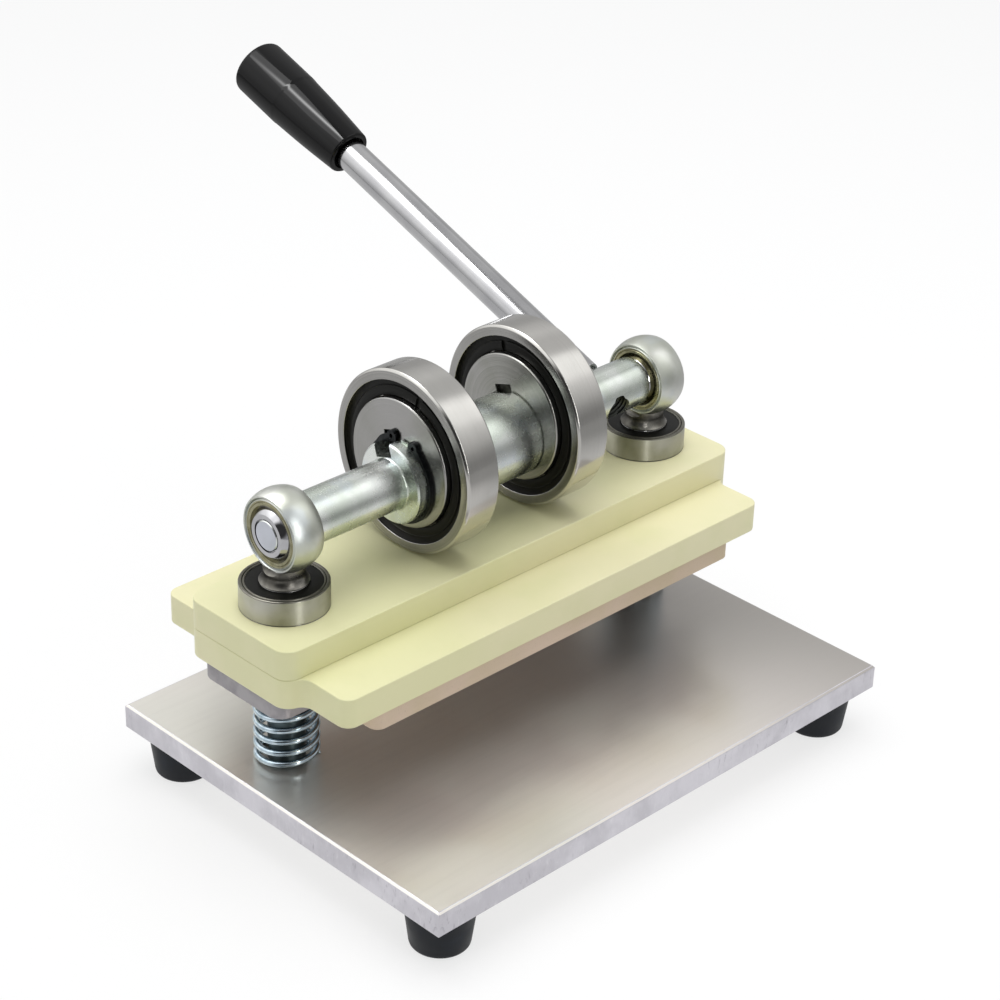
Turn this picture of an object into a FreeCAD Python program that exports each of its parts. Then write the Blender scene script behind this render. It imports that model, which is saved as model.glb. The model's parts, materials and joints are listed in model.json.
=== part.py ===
import FreeCAD, Part
import math
import os

# A hand lever turns a shaft with two eccentric roller bearings, which press a
# guided platen down on a base plate. Millimetres, +Z up, +X along the shaft,
# +Y to the back. Pieces are drawn from the middle of the base plate's top face.
# The files are written from the middle of the pressing board's lower face.

# How far cutting shapes run past the faces that they cut
over_cut = 1.0

# Base plate
base_length = 283.8
base_width = 210.3
base_thickness = 13.0
base_edge_chamfer = 1.0

# Rubber feet and their screws
foot_inset = 18.6
foot_height = 21.0
foot_top_radius = 16.0
foot_bottom_radius = 13.3
foot_edge_radius = 2.0
foot_recess_radius = 7.5
foot_recess_depth = 12.0
foot_screw_radius = 3.0
foot_screw_grip = 8.0
foot_screw_head_radius = 5.0
foot_screw_head_height = 3.5
foot_washer_radius = 6.5
foot_washer_thickness = 1.5
drive_slot_width = 1.4
drive_slot_depth = 1.2

# Guide columns, screwed down from below
column_end_inset = 27.8
column_offset = 24.8
column_radius = 8.5
column_seat_depth = 6.0
column_end_chamfer = 0.8
column_screw_radius = 5.0
column_screw_grip = 20.0
column_screw_head_radius = 9.8
column_screw_head_height = 6.4
column_washer_radius = 11.0
column_washer_thickness = 2.0
screw_hole_clearance = 0.3
tapped_hole_spare = 3.0

# Platen: two plates, the pressing board and the spring plates under them
open_height = 41.0
carrier_thickness = 9.0
lower_plate_thickness = 14.2
upper_plate_thickness = 14.2
beam_end_inset = 1.1
beam_width = 67.0
beam_corner_radius = 8.0
flange_end_step = 9.8
flange_width = 122.0
flange_corner_radius = 6.0
waist_fillet_radius = 6.0
plate_edge_chamfer = 0.3
plate_column_clearance = 1.5
board_end_inset = 27.75
board_width = 119.0
board_corner_radius = 5.0
spring_plate_length = 46.0
spring_plate_width = 54.0
spring_plate_corner_radius = 8.0
spring_plate_end_gap = 1.55
notch_clearance = 0.3

# Screws that hold the platen together
joining_screw_radius = 4.0
joining_screw_head_radius = 6.5
joining_screw_head_height = 8.0
joining_screw_grip = 10.0
joining_screw_spread_x = 130.0
joining_screw_spread_y = 40.0
socket_radius = 3.4
socket_depth = 4.0
countersunk_screw_radius = 2.5
countersunk_head_radius = 5.0
countersunk_screw_grip = 9.0
board_screw_spread_x = 150.0
board_screw_spread_y = 92.0
spring_plate_screw_spread_x = 34.0
spring_plate_screw_spread_y = 37.0

# Return springs round the columns
spring_column_gap = 3.5
spring_wire_radius = 1.5
spring_turns = 7.0

# Guide ball bearings, two stacked at each column
guide_bearing_radius = 20.0
guide_bearing_height = 12.0
guide_inner_ring_radius = 11.0
guide_outer_ring_bore_radius = 15.8
guide_ball_count = 8
guide_groove_radius = 3.5
guide_ball_clearance = 0.02
guide_sliding_clearance = 0.03
guide_seal_gap = 0.2
guide_seal_thickness = 1.2
guide_seal_recess = 0.4
guide_seal_seat_radius = 17.2
guide_cage_width = 2.6
guide_cage_reach = 1.5
guide_cage_back = 4.2
guide_cage_ball_clearance = 0.1
guide_ring_chamfer = 0.8
guide_face_groove_inner = 17.9
guide_face_groove_outer = 18.5
guide_face_groove_depth = 0.6
guide_support_width = 3.5

# Eccentric roller bearings
roller_ring_radius = 43.25
roller_ring_width = 19.0
roller_ring_chamfer = 1.1
roller_bearing_spacing = 68.2
roller_platen_gap = 0.2
eccentricity = 7.0
eccentric_rest_angle = 18.0
eccentric_ring_width = 22.2
eccentric_flange_height = 2.9
eccentric_edge_chamfer = 0.6
raceway_gap = 8.7
raceway_depth = 2.0
raceway_width = 12.8
roller_count = 18
roller_length = 11.0
roller_clearance = 0.05
roller_cage_thickness = 2.2
roller_cage_width = 12.2
roller_cage_clearance = 0.12
seal_seat_wall = 5.05
seal_gap = 0.3
seal_rim_recess = 2.2
seal_rim_thickness = 0.8
seal_rim_width = 2.9
seal_band_height = 0.7
seal_band_bulge = 0.35
seal_notch_width = 2.6
seal_notch_angles = {"left": -16.0, "right": 13.0}

# Shaft with its keys and retaining rings
seat_radius = 19.0
shoulder_height = 1.0
arm_radius = 12.0
pin_radius = 7.0
shoulder_relief_width = 0.9
shoulder_relief_depth = 0.6
seat_end_overhang = 7.1
seat_end_chamfer = 0.8
arm_fillet_radius = 0.9
arm_end_round = 1.8
pin_end_chamfer = 0.4
pin_stand_out = 0.2
key_width = 10.0
key_height = 10.0
key_length = 19.2
key_seat_depth = 6.8
keyway_top_clearance = 0.3
keyway_runout_length = 4.5
keyway_runout_depth = 2.6
retaining_ring_thickness = 1.75
retaining_ring_groove_depth = 1.1
retaining_ring_side_clearance = 0.1
retaining_ring_radial_width = 3.6
retaining_ring_gap_angle = -5.0
retaining_ring_gap_half_angle = 11.5
retaining_ring_ear_half_angle = 20.0
retaining_ring_ear_radius = 2.6
retaining_ring_ear_hole_radius = 1.0

# Swivel rod ends on the columns
rod_end_radius = 19.1
rod_end_rim_radius = 17.2
rod_end_width = 15.8
rod_end_shank_radius = 6.0
rod_end_shank_grip = 20.0
rod_end_column_drop = 24.3
rod_end_collar_radius = 11.2
rod_end_neck_radius = 9.3
rod_end_neck_height = 4.6
rod_end_side_blend = 3.0
staking_groove_width = 0.9
staking_groove_depth = 0.5
race_outer_radius = 16.1
race_width = 15.4
race_mouth_radius = 13.0
race_mouth_depth = 1.0
ball_radius = 13.6
ball_width = 19.0
ball_race_clearance = 0.1
ball_bore_chamfer = 0.5

# Lever and grip
lever_end_inset = 21.3
lever_rest_angle = 69.45
lever_radius = 8.0
lever_thread_radius = 6.0
lever_thread_past_centre = 4.0
lever_thread_pitch = 1.75
lever_thread_depth = 0.9
grip_start = 191.4
grip_taper_length = 44.3
grip_straight_length = 31.1
grip_taper_bulge = 0.3
grip_lip_radius = 11.8
grip_step_radius = 14.7
grip_end_radius = 14.9
grip_lip_round = 2.4
grip_end_round = 2.5
grip_recess_depth = 3.0
grip_recess_clearance = 1.2
grip_stud_radius = 5.0
grip_stud_length = 38.0

# Heights and places that follow from the sizes above
V = FreeCAD.Vector
SIDES = {"left": -1, "right": 1}
base_bottom = -base_thickness
beam_length = base_length - 2 * beam_end_inset
flange_length = beam_length - 2 * flange_end_step
board_length = beam_length - 2 * board_end_inset
column_x = beam_length / 2 - column_end_inset
foot_bottom = base_bottom - foot_height
carrier_bottom = open_height
lower_plate_bottom = carrier_bottom + carrier_thickness
upper_plate_bottom = lower_plate_bottom + lower_plate_thickness
platen_top = upper_plate_bottom + upper_plate_thickness
lean = math.radians(eccentric_rest_angle)
shaft_y = column_offset
shaft_z = (platen_top + roller_platen_gap + roller_ring_radius
           - eccentricity * math.cos(lean))
column_top = shaft_z - rod_end_column_drop
spring_outer_radius = column_radius + spring_column_gap + 2 * spring_wire_radius
bearing_x = roller_bearing_spacing / 2
ring_inner_face = bearing_x - eccentric_ring_width / 2
ring_outer_face = bearing_x + eccentric_ring_width / 2
arm_end = column_x - ball_width / 2
pin_end = column_x + ball_width / 2 + pin_stand_out
lever_position = arm_end - lever_end_inset
grip_step = grip_start + grip_taper_length
grip_end = grip_step + grip_straight_length
middle_radius = seat_radius + shoulder_height
seat_half_length = ring_outer_face + seat_end_overhang
seal_seat_radius = roller_ring_radius - seal_seat_wall
seal_band_radius = seal_seat_radius - seal_rim_width
outer_raceway_radius = seal_seat_radius - raceway_depth
inner_raceway_radius = outer_raceway_radius - raceway_gap
eccentric_flange_radius = inner_raceway_radius + eccentric_flange_height
roller_radius = raceway_gap / 2 - roller_clearance
roller_pitch_radius = (outer_raceway_radius + inner_raceway_radius) / 2
guide_pitch_radius = (guide_outer_ring_bore_radius + guide_inner_ring_radius) / 2
retaining_ring_inner_radius = seat_radius - retaining_ring_groove_depth


def profile_wire(points, arcs, place):
    """Closed outline; arcs[i] is a point on the arc from point i to the next."""
    edges = []
    for i, start in enumerate(points):
        end = points[(i + 1) % len(points)]
        if i in arcs:
            edge = Part.Arc(place(start), place(arcs[i]), place(end))
        else:
            edge = Part.LineSegment(place(start), place(end))
        edges.append(edge.toShape())
    return Part.Wire(edges)


def turned_upright(points, x, y, arcs={}):
    """Solid of revolution about a vertical axis from (radius, height) points."""
    wire = profile_wire(points, arcs, lambda p: V(x + p[0], y, p[1]))
    return Part.Face(wire).revolve(V(x, y, 0), V(0, 0, 1), 360)


def turned_level(points, y, z, arcs={}):
    """Solid of revolution about an axis along X from (x, radius) points."""
    wire = profile_wire(points, arcs, lambda p: V(p[0], y, z + p[1]))
    return Part.Face(wire).revolve(V(0, y, z), V(1, 0, 0), 360)


def rod(radius, bottom, top, x, y):
    """Upright cylinder between two heights."""
    return Part.makeCylinder(radius, top - bottom, V(x, y, bottom))


def level_rod(radius, start, end, y, z):
    """Cylinder along X between two places."""
    return Part.makeCylinder(radius, end - start, V(start, y, z), V(1, 0, 0))


def rounded_plate(corners, bottom, top):
    """Flat plate whose outline has (x, y, radius) corners."""
    points = []
    arcs = {}
    for i, (x, y, radius) in enumerate(corners):
        corner = V(x, y, bottom)
        before = V(corners[i - 1][0], corners[i - 1][1], bottom)
        after_corner = corners[(i + 1) % len(corners)]
        after = V(after_corner[0], after_corner[1], bottom)
        back = (before - corner).normalize()
        ahead = (after - corner).normalize()
        half_angle = back.getAngle(ahead) / 2
        middle = (back + ahead).normalize()
        centre = corner + middle * (radius / math.sin(half_angle))
        arcs[len(points)] = centre - middle * radius
        points.append(corner + back * (radius / math.tan(half_angle)))
        points.append(corner + ahead * (radius / math.tan(half_angle)))
    wire = profile_wire(points, arcs, lambda p: p)
    return Part.Face(wire).extrude(V(0, 0, top - bottom))


def rounded_rectangle(length, width, radius, bottom, top, x, y):
    """Rectangular plate with round corners, centred on (x, y)."""
    corners = []
    for sx, sy in ((-1, -1), (1, -1), (1, 1), (-1, 1)):
        corners.append((x + sx * length / 2, y + sy * width / 2, radius))
    return rounded_plate(corners, bottom, top)


def chamfer_at_heights(shape, heights, size):
    """Break the edges that lie flat at the given heights."""
    edges = []
    for edge in shape.Edges:
        box = edge.BoundBox
        flat = box.ZLength < 0.001
        if flat and any(abs(box.ZMin - height) < 0.001 for height in heights):
            edges.append(edge)
    return shape.makeChamfer(size, edges)


def lean_back(shape, degrees):
    """Turn a shape about the shaft axis, from upright towards the back."""
    turned = shape.copy()
    turned.rotate(V(0, shaft_y, shaft_z), V(1, 0, 0), -degrees)
    return turned


def grid_places(spread_x, spread_y, x, y):
    """Four places round (x, y)."""
    places = []
    for sx in (-1, 1):
        for sy in (-1, 1):
            places.append((x + sx * spread_x / 2, y + sy * spread_y / 2))
    return places


def foot_places():
    """Name and place of each foot."""
    places = {}
    for depth, sy in (("front", -1), ("back", 1)):
        for side, sx in SIDES.items():
            x = sx * (base_length / 2 - foot_inset)
            y = sy * (base_width / 2 - foot_inset)
            places[depth + "_" + side] = (x, y)
    return places


def base_plate():
    """Base plate with column seats, column screw holes and foot screw holes."""
    plate = Part.makeBox(base_length, base_width, base_thickness,
                         V(-base_length / 2, -base_width / 2, base_bottom))
    plate = chamfer_at_heights(plate, (0, base_bottom), base_edge_chamfer)
    cuts = []
    for side in SIDES.values():
        x = side * column_x
        cuts.append(rod(column_radius, -column_seat_depth, over_cut, x, column_offset))
        hole = column_screw_radius + screw_hole_clearance
        cuts.append(rod(hole, base_bottom - over_cut, 0, x, column_offset))
    for x, y in foot_places().values():
        depth = foot_screw_grip + tapped_hole_spare / 2
        cuts.append(rod(foot_screw_radius, base_bottom - over_cut, base_bottom + depth, x, y))
    return plate.cut(cuts)


def rubber_foot(x, y):
    """Tapered foot with a rounded lower edge and a recess for its screw."""
    web_bottom = foot_bottom + foot_recess_depth
    slope = (foot_top_radius - foot_bottom_radius) / foot_height
    round_top = foot_bottom + foot_edge_radius
    side_radius = foot_bottom_radius + slope * foot_edge_radius
    bend = foot_edge_radius * (1 - math.sqrt(0.5))
    hole = foot_screw_radius + screw_hole_clearance
    points = [(hole, base_bottom), (foot_top_radius, base_bottom),
              (side_radius, round_top),
              (foot_bottom_radius - foot_edge_radius, foot_bottom),
              (foot_recess_radius, foot_bottom),
              (foot_recess_radius, web_bottom), (hole, web_bottom)]
    arcs = {2: (foot_bottom_radius - bend, foot_bottom + bend)}
    return turned_upright(points, x, y, arcs)


def foot_washer(x, y):
    """Flat washer inside the foot."""
    top = foot_bottom + foot_recess_depth
    outer = rod(foot_washer_radius, top - foot_washer_thickness, top, x, y)
    hole = foot_screw_radius + screw_hole_clearance
    return outer.cut(rod(hole, top - foot_washer_thickness, top, x, y))


def foot_screw(x, y):
    """Slotted pan head screw through the foot into the base plate."""
    seat = foot_bottom + foot_recess_depth - foot_washer_thickness
    head_bottom = seat - foot_screw_head_height
    head = rod(foot_screw_head_radius, head_bottom, seat, x, y)
    slot = Part.makeBox(4 * foot_screw_head_radius, drive_slot_width, drive_slot_depth,
                        V(x - 2 * foot_screw_head_radius, y - drive_slot_width / 2,
                          head_bottom))
    shank = rod(foot_screw_radius, seat, base_bottom + foot_screw_grip, x, y)
    return head.cut(slot).fuse(shank)


def guide_column(x):
    """Ground column, tapped at both ends."""
    bottom = -column_seat_depth
    points = [(0, bottom), (column_radius - column_end_chamfer, bottom),
              (column_radius, bottom + column_end_chamfer),
              (column_radius, column_top - column_end_chamfer),
              (column_radius - column_end_chamfer, column_top), (0, column_top)]
    body = turned_upright(points, x, column_offset)
    lower_hole = bottom + column_screw_grip + tapped_hole_spare
    upper_hole = column_top - rod_end_shank_grip - tapped_hole_spare
    cuts = [rod(column_screw_radius, bottom, lower_hole, x, column_offset),
            rod(rod_end_shank_radius, upper_hole, column_top, x, column_offset)]
    return body.cut(cuts)


def column_washer(x):
    """Washer under the base plate."""
    bottom = base_bottom - column_washer_thickness
    outer = rod(column_washer_radius, bottom, base_bottom, x, column_offset)
    hole = column_screw_radius + screw_hole_clearance
    return outer.cut(rod(hole, bottom, base_bottom, x, column_offset))


def column_screw(x):
    """Hexagon screw that holds a column from below."""
    seat = base_bottom - column_washer_thickness
    corners = []
    for i in range(6):
        angle = math.radians(60 * i)
        corners.append(V(x + column_screw_head_radius * math.cos(angle),
                         column_offset + column_screw_head_radius * math.sin(angle),
                         seat - column_screw_head_height))
    outline = Part.makePolygon(corners + corners[:1])
    head = Part.Face(outline).extrude(V(0, 0, column_screw_head_height))
    end = column_screw_grip - column_seat_depth
    return head.fuse(rod(column_screw_radius, seat, end, x, column_offset))


def joining_screw(x, y, shank_radius, head_radius, socket):
    """Cap screw from below, or the hole that it needs."""
    head_top = lower_plate_bottom + joining_screw_head_height
    shank_top = upper_plate_bottom + joining_screw_grip
    screw = rod(head_radius, lower_plate_bottom, head_top, x, y)
    screw = screw.fuse(rod(shank_radius, head_top, shank_top, x, y))
    if socket:
        depth = lower_plate_bottom + socket_depth
        screw = screw.cut(rod(socket_radius, lower_plate_bottom, depth, x, y))
    return screw


def countersunk_screw(x, y, shank_radius, socket):
    """Countersunk screw from below into the lower plate, or its hole."""
    head_top = carrier_bottom + countersunk_head_radius - countersunk_screw_radius
    shank_top = lower_plate_bottom + countersunk_screw_grip
    shrink = shank_radius - countersunk_screw_radius
    points = [(0, carrier_bottom), (countersunk_head_radius, carrier_bottom),
              (shank_radius, head_top - shrink), (shank_radius, shank_top),
              (0, shank_top)]
    screw = turned_upright(points, x, y)
    if socket:
        depth = countersunk_screw_radius / 2
        bit = rod(countersunk_screw_radius / 2, carrier_bottom, carrier_bottom + depth,
                  x, y)
        screw = screw.cut(bit)
    return screw


def joining_places():
    """Places of the screws between the two plates."""
    return grid_places(joining_screw_spread_x, joining_screw_spread_y, 0, column_offset)


def board_screw_places():
    """Places of the screws that hold the board."""
    return grid_places(board_screw_spread_x, board_screw_spread_y, 0, column_offset)


def spring_plate_screw_places(side):
    """Places of the screws that hold one spring plate."""
    return grid_places(spring_plate_screw_spread_x, spring_plate_screw_spread_y,
                       side * spring_plate_centre(), column_offset)


def spring_plate_centre():
    """Distance of a spring plate's middle from the middle of the machine."""
    return beam_length / 2 - spring_plate_end_gap - spring_plate_length / 2


def upper_plate():
    """Upper platen plate with a seat for the lower guide bearing at each end."""
    plate = rounded_rectangle(beam_length, beam_width, beam_corner_radius,
                              upper_plate_bottom, platen_top, 0, column_offset)
    plate = chamfer_at_heights(plate, (upper_plate_bottom, platen_top), plate_edge_chamfer)
    seat = platen_top - guide_bearing_height
    cuts = []
    for side in SIDES.values():
        x = side * column_x
        cuts.append(rod(guide_bearing_radius, seat, platen_top + over_cut, x, column_offset))
        hole = guide_bearing_radius - guide_support_width
        cuts.append(rod(hole, upper_plate_bottom - over_cut, seat, x, column_offset))
    for x, y in joining_places():
        cuts.append(joining_screw(x, y, joining_screw_radius, joining_screw_head_radius,
                                  False))
    return plate.cut(cuts)


def waist_quarter(sx, sy):
    """One quarter of the lower plate's outline, from its end to its long side.

    The end's corner arc and the hollow arc beside the flange meet in an S, so both
    turn by the angle at which they bridge the step between end and flange.
    """
    reach = beam_corner_radius + waist_fillet_radius
    turn = math.acos(1 - flange_end_step / reach)
    hub = V(beam_length / 2 - beam_corner_radius, beam_width / 2 - beam_corner_radius)
    hollow = hub + V(math.cos(turn), math.sin(turn)) * reach
    bend = flange_corner_radius * (1 - math.sqrt(0.5))
    x_side = flange_length / 2
    y_side = flange_width / 2
    outline = [hub + V(beam_corner_radius, 0),
               hub + V(math.cos(turn / 2), math.sin(turn / 2)) * beam_corner_radius,
               hub + V(math.cos(turn), math.sin(turn)) * beam_corner_radius,
               hollow - V(math.cos(turn / 2), math.sin(turn / 2)) * waist_fillet_radius,
               hollow - V(waist_fillet_radius, 0),
               V(x_side, y_side - flange_corner_radius),
               V(x_side - bend, y_side - bend),
               V(x_side - flange_corner_radius, y_side)]
    return [V(sx * p.x, column_offset + sy * p.y, lower_plate_bottom) for p in outline]


def lower_plate():
    """Lower platen plate: a wide flange with ends as narrow as the beam."""
    edges = []
    starts = []
    ends = []
    for sx, sy in ((1, 1), (-1, 1), (-1, -1), (1, -1)):
        quarter = waist_quarter(sx, sy)
        edges.append(Part.Arc(quarter[0], quarter[1], quarter[2]).toShape())
        edges.append(Part.Arc(quarter[2], quarter[3], quarter[4]).toShape())
        edges.append(Part.LineSegment(quarter[4], quarter[5]).toShape())
        edges.append(Part.Arc(quarter[5], quarter[6], quarter[7]).toShape())
        starts.append(quarter[0])
        ends.append(quarter[-1])
    for pair in ((ends[0], ends[1]), (starts[1], starts[2]), (ends[2], ends[3]),
                 (starts[3], starts[0])):
        edges.append(Part.LineSegment(pair[0], pair[1]).toShape())
    wire = Part.Wire(Part.__sortEdges__(edges))
    plate = Part.Face(wire).extrude(V(0, 0, lower_plate_thickness))
    plate = chamfer_at_heights(plate, (lower_plate_bottom, upper_plate_bottom),
                               plate_edge_chamfer)
    cuts = []
    for side in SIDES.values():
        hole = column_radius + plate_column_clearance
        cuts.append(rod(hole, lower_plate_bottom - over_cut, upper_plate_bottom + over_cut,
                        side * column_x, column_offset))
        for x, y in spring_plate_screw_places(side):
            cuts.append(countersunk_screw(x, y, countersunk_screw_radius, False))
    for x, y in joining_places():
        cuts.append(joining_screw(x, y, joining_screw_radius + screw_hole_clearance,
                                  joining_screw_head_radius + screw_hole_clearance, False))
    for x, y in board_screw_places():
        cuts.append(countersunk_screw(x, y, countersunk_screw_radius, False))
    return plate.cut(cuts)


def spring_plate(side):
    """Metal plate under the platen end that takes the top of a spring."""
    x = side * spring_plate_centre()
    plate = rounded_rectangle(spring_plate_length, spring_plate_width,
                              spring_plate_corner_radius, carrier_bottom,
                              lower_plate_bottom, x, column_offset)
    plate = chamfer_at_heights(plate, (carrier_bottom,), plate_edge_chamfer)
    hole = column_radius + plate_column_clearance
    cuts = [rod(hole, carrier_bottom - over_cut, lower_plate_bottom + over_cut, side * column_x,
                column_offset)]
    for sx, sy in spring_plate_screw_places(side):
        cuts.append(countersunk_screw(sx, sy, countersunk_screw_radius
                                      + screw_hole_clearance, False))
    return plate.cut(cuts)


def press_board():
    """Pressing board between the spring plates, notched round their inner ends."""
    board = rounded_rectangle(board_length, board_width, board_corner_radius,
                              carrier_bottom, lower_plate_bottom, 0, column_offset)
    cuts = []
    for side in SIDES.values():
        cuts.append(rounded_rectangle(spring_plate_length + 2 * notch_clearance,
                                      spring_plate_width + 2 * notch_clearance,
                                      spring_plate_corner_radius, carrier_bottom - over_cut,
                                      lower_plate_bottom + over_cut,
                                      side * spring_plate_centre(), column_offset))
    for x, y in board_screw_places():
        cuts.append(countersunk_screw(x, y, countersunk_screw_radius
                                      + screw_hole_clearance, False))
    return board.cut(cuts)


def return_spring():
    """Compression spring with ground ends, standing on the base at the origin."""
    radius = spring_outer_radius - spring_wire_radius
    pitch = open_height / spring_turns
    low = -spring_wire_radius / 2
    high = open_height + spring_wire_radius / 2
    path = Part.makeLongHelix(pitch, high - low, radius)
    slope = math.atan2(pitch, 2 * math.pi * radius)
    section = Part.makeCircle(spring_wire_radius, V(radius, 0, 0),
                              V(0, math.cos(slope), math.sin(slope)))
    coil = Part.Wire(path).makePipeShell([Part.Wire(section)], True, True)
    coil.translate(V(0, 0, low))
    return coil.common(rod(spring_outer_radius * 2, 0, open_height, 0, 0))


def guide_outer_ring(x, bottom):
    """Outer ring of a guide bearing: ball groove, seal seats and face grooves."""
    top = bottom + guide_bearing_height
    c = guide_ring_chamfer
    points = [(guide_outer_ring_bore_radius, bottom), (guide_bearing_radius - c, bottom),
              (guide_bearing_radius, bottom + c), (guide_bearing_radius, top - c),
              (guide_bearing_radius - c, top), (guide_outer_ring_bore_radius, top)]
    seat = guide_seal_recess + guide_seal_thickness
    cuts = [guide_groove(x, bottom)]
    for low in (bottom - over_cut, top - seat):
        high = low + seat + over_cut
        cuts.append(rod(guide_seal_seat_radius, low, high, x, column_offset))
    for low in (bottom - over_cut, top - guide_face_groove_depth):
        high = low + guide_face_groove_depth + over_cut
        groove = rod(guide_face_groove_outer, low, high, x, column_offset)
        cuts.append(groove.cut(rod(guide_face_groove_inner, low, high, x, column_offset)))
    return turned_upright(points, x, column_offset).cut(cuts)


def guide_inner_ring(x, bottom):
    """Inner ring of a guide bearing, sliding on the column."""
    top = bottom + guide_bearing_height
    bore = column_radius + guide_sliding_clearance
    c = guide_ring_chamfer
    points = [(bore + c, bottom), (guide_inner_ring_radius, bottom),
              (guide_inner_ring_radius, top), (bore + c, top),
              (bore, top - c), (bore, bottom + c)]
    ring = turned_upright(points, x, column_offset)
    return ring.cut(guide_groove(x, bottom))


def guide_groove(x, bottom):
    """Ring of the balls' path, which both races are cut by."""
    middle = V(x, column_offset, bottom + guide_bearing_height / 2)
    return Part.makeTorus(guide_pitch_radius, guide_groove_radius, middle)


def guide_ball_set(x, bottom):
    """Balls and crown cage of a guide bearing."""
    middle = bottom + guide_bearing_height / 2
    inner = guide_pitch_radius - guide_cage_width / 2
    outer = guide_pitch_radius + guide_cage_width / 2
    low = middle - guide_cage_reach
    high = middle + guide_cage_back
    cage = rod(outer, low, high, x, column_offset)
    cage = cage.cut(rod(inner, low, high, x, column_offset))
    balls = []
    pockets = []
    for i in range(guide_ball_count):
        angle = 2 * math.pi * i / guide_ball_count
        place = V(x + guide_pitch_radius * math.cos(angle),
                  column_offset + guide_pitch_radius * math.sin(angle), middle)
        balls.append(Part.makeSphere(guide_groove_radius - guide_ball_clearance, place))
        pockets.append(Part.makeSphere(guide_groove_radius + guide_cage_ball_clearance,
                                       place))
    return Part.makeCompound(balls + cage.cut(pockets).Solids)


def guide_seals(x, bottom):
    """Rubber seals at both faces of a guide bearing."""
    inner = guide_inner_ring_radius + guide_seal_gap
    top = bottom + guide_bearing_height
    seals = []
    for low in (bottom + guide_seal_recess,
                top - guide_seal_recess - guide_seal_thickness):
        high = low + guide_seal_thickness
        disc = rod(guide_seal_seat_radius, low, high, x, column_offset)
        seals.append(disc.cut(rod(inner, low, high, x, column_offset)))
    return Part.makeCompound(seals)


def eccentric_ring(side):
    """Inner ring of a roller bearing, bored off centre and keyed to the shaft."""
    x = side * bearing_x
    half = eccentric_ring_width / 2
    race_half = raceway_width / 2
    c = eccentric_edge_chamfer
    flange = eccentric_flange_radius
    points = [(x - half, 0), (x - half, flange - c), (x - half + c, flange),
              (x - race_half, flange), (x - race_half, inner_raceway_radius),
              (x + race_half, inner_raceway_radius), (x + race_half, flange),
              (x + half - c, flange), (x + half, flange - c), (x + half, 0)]
    ring = turned_level(points, shaft_y, shaft_z + eccentricity)
    bore = level_rod(seat_radius, x - half, x + half, shaft_y, shaft_z)
    top = seat_radius - key_seat_depth + key_height + keyway_top_clearance
    keyway = Part.makeBox(eccentric_ring_width, key_width, top,
                          V(x - half, shaft_y - key_width / 2, shaft_z))
    return lean_back(ring.cut([bore, keyway]), eccentric_rest_angle)


def bearing_centre():
    """Place of the roller bearings' own centre, as (y, z)."""
    return (shaft_y + eccentricity * math.sin(lean), shaft_z + eccentricity * math.cos(lean))


def roller_ring(side):
    """Outer ring that rolls on the platen."""
    x = side * bearing_x
    y, z = bearing_centre()
    half = roller_ring_width / 2
    race_half = raceway_width / 2
    c = roller_ring_chamfer
    points = [(x - half, seal_seat_radius), (x - half, roller_ring_radius - c),
              (x - half + c, roller_ring_radius), (x + half - c, roller_ring_radius),
              (x + half, roller_ring_radius - c), (x + half, seal_seat_radius),
              (x + race_half, seal_seat_radius), (x + race_half, outer_raceway_radius),
              (x - race_half, outer_raceway_radius), (x - race_half, seal_seat_radius)]
    return turned_level(points, y, z)


def rollers(side):
    """Cylindrical rollers of one bearing."""
    x = side * bearing_x
    y, z = bearing_centre()
    pieces = []
    for i in range(roller_count):
        angle = 2 * math.pi * i / roller_count
        pieces.append(level_rod(roller_radius, x - roller_length / 2,
                                x + roller_length / 2,
                                y + roller_pitch_radius * math.cos(angle),
                                z + roller_pitch_radius * math.sin(angle)))
    return Part.makeCompound(pieces)


def roller_cage(side):
    """Cage that keeps the rollers apart."""
    x = side * bearing_x
    y, z = bearing_centre()
    half = roller_cage_width / 2
    inner = roller_pitch_radius - roller_cage_thickness / 2
    outer = roller_pitch_radius + roller_cage_thickness / 2
    cage = level_rod(outer, x - half, x + half, y, z)
    cuts = [level_rod(inner, x - half, x + half, y, z)]
    for i in range(roller_count):
        angle = 2 * math.pi * i / roller_count
        reach = roller_length / 2 + roller_cage_clearance
        cuts.append(level_rod(roller_radius + roller_cage_clearance, x - reach, x + reach,
                              y + roller_pitch_radius * math.cos(angle),
                              z + roller_pitch_radius * math.sin(angle)))
    return cage.cut(cuts)


def seal(middle, face, notch_angle):
    """One seal: a thin flat rim, a raised round band inside it, a notch in the band."""
    y, z = bearing_centre()
    inner = eccentric_flange_radius + seal_gap
    rim = middle + face * (roller_ring_width / 2 - seal_rim_recess)
    inside = rim - face * seal_rim_thickness
    band = rim + face * seal_band_height
    points = [(inside, inner), (band, inner), (band, seal_band_radius),
              (rim, seal_band_radius), (rim, seal_seat_radius), (inside, seal_seat_radius)]
    crown = (band + face * seal_band_bulge, (inner + seal_band_radius) / 2)
    disc = turned_level(points, y, z, {1: crown})
    start = min(rim, rim + face * roller_ring_width)
    notch = Part.makeBox(roller_ring_width, seal_notch_width, seal_seat_radius,
                         V(start, y - seal_notch_width / 2, z))
    notch.rotate(V(0, y, z), V(1, 0, 0), -notch_angle)
    return disc.cut(notch)


def roller_seals(side):
    """Rubber seals at both faces of a roller bearing, sunk into the outer ring."""
    name = "left" if side < 0 else "right"
    angle = seal_notch_angles[name]
    return Part.makeCompound([seal(side * bearing_x, face, angle) for face in (-1, 1)])


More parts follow.
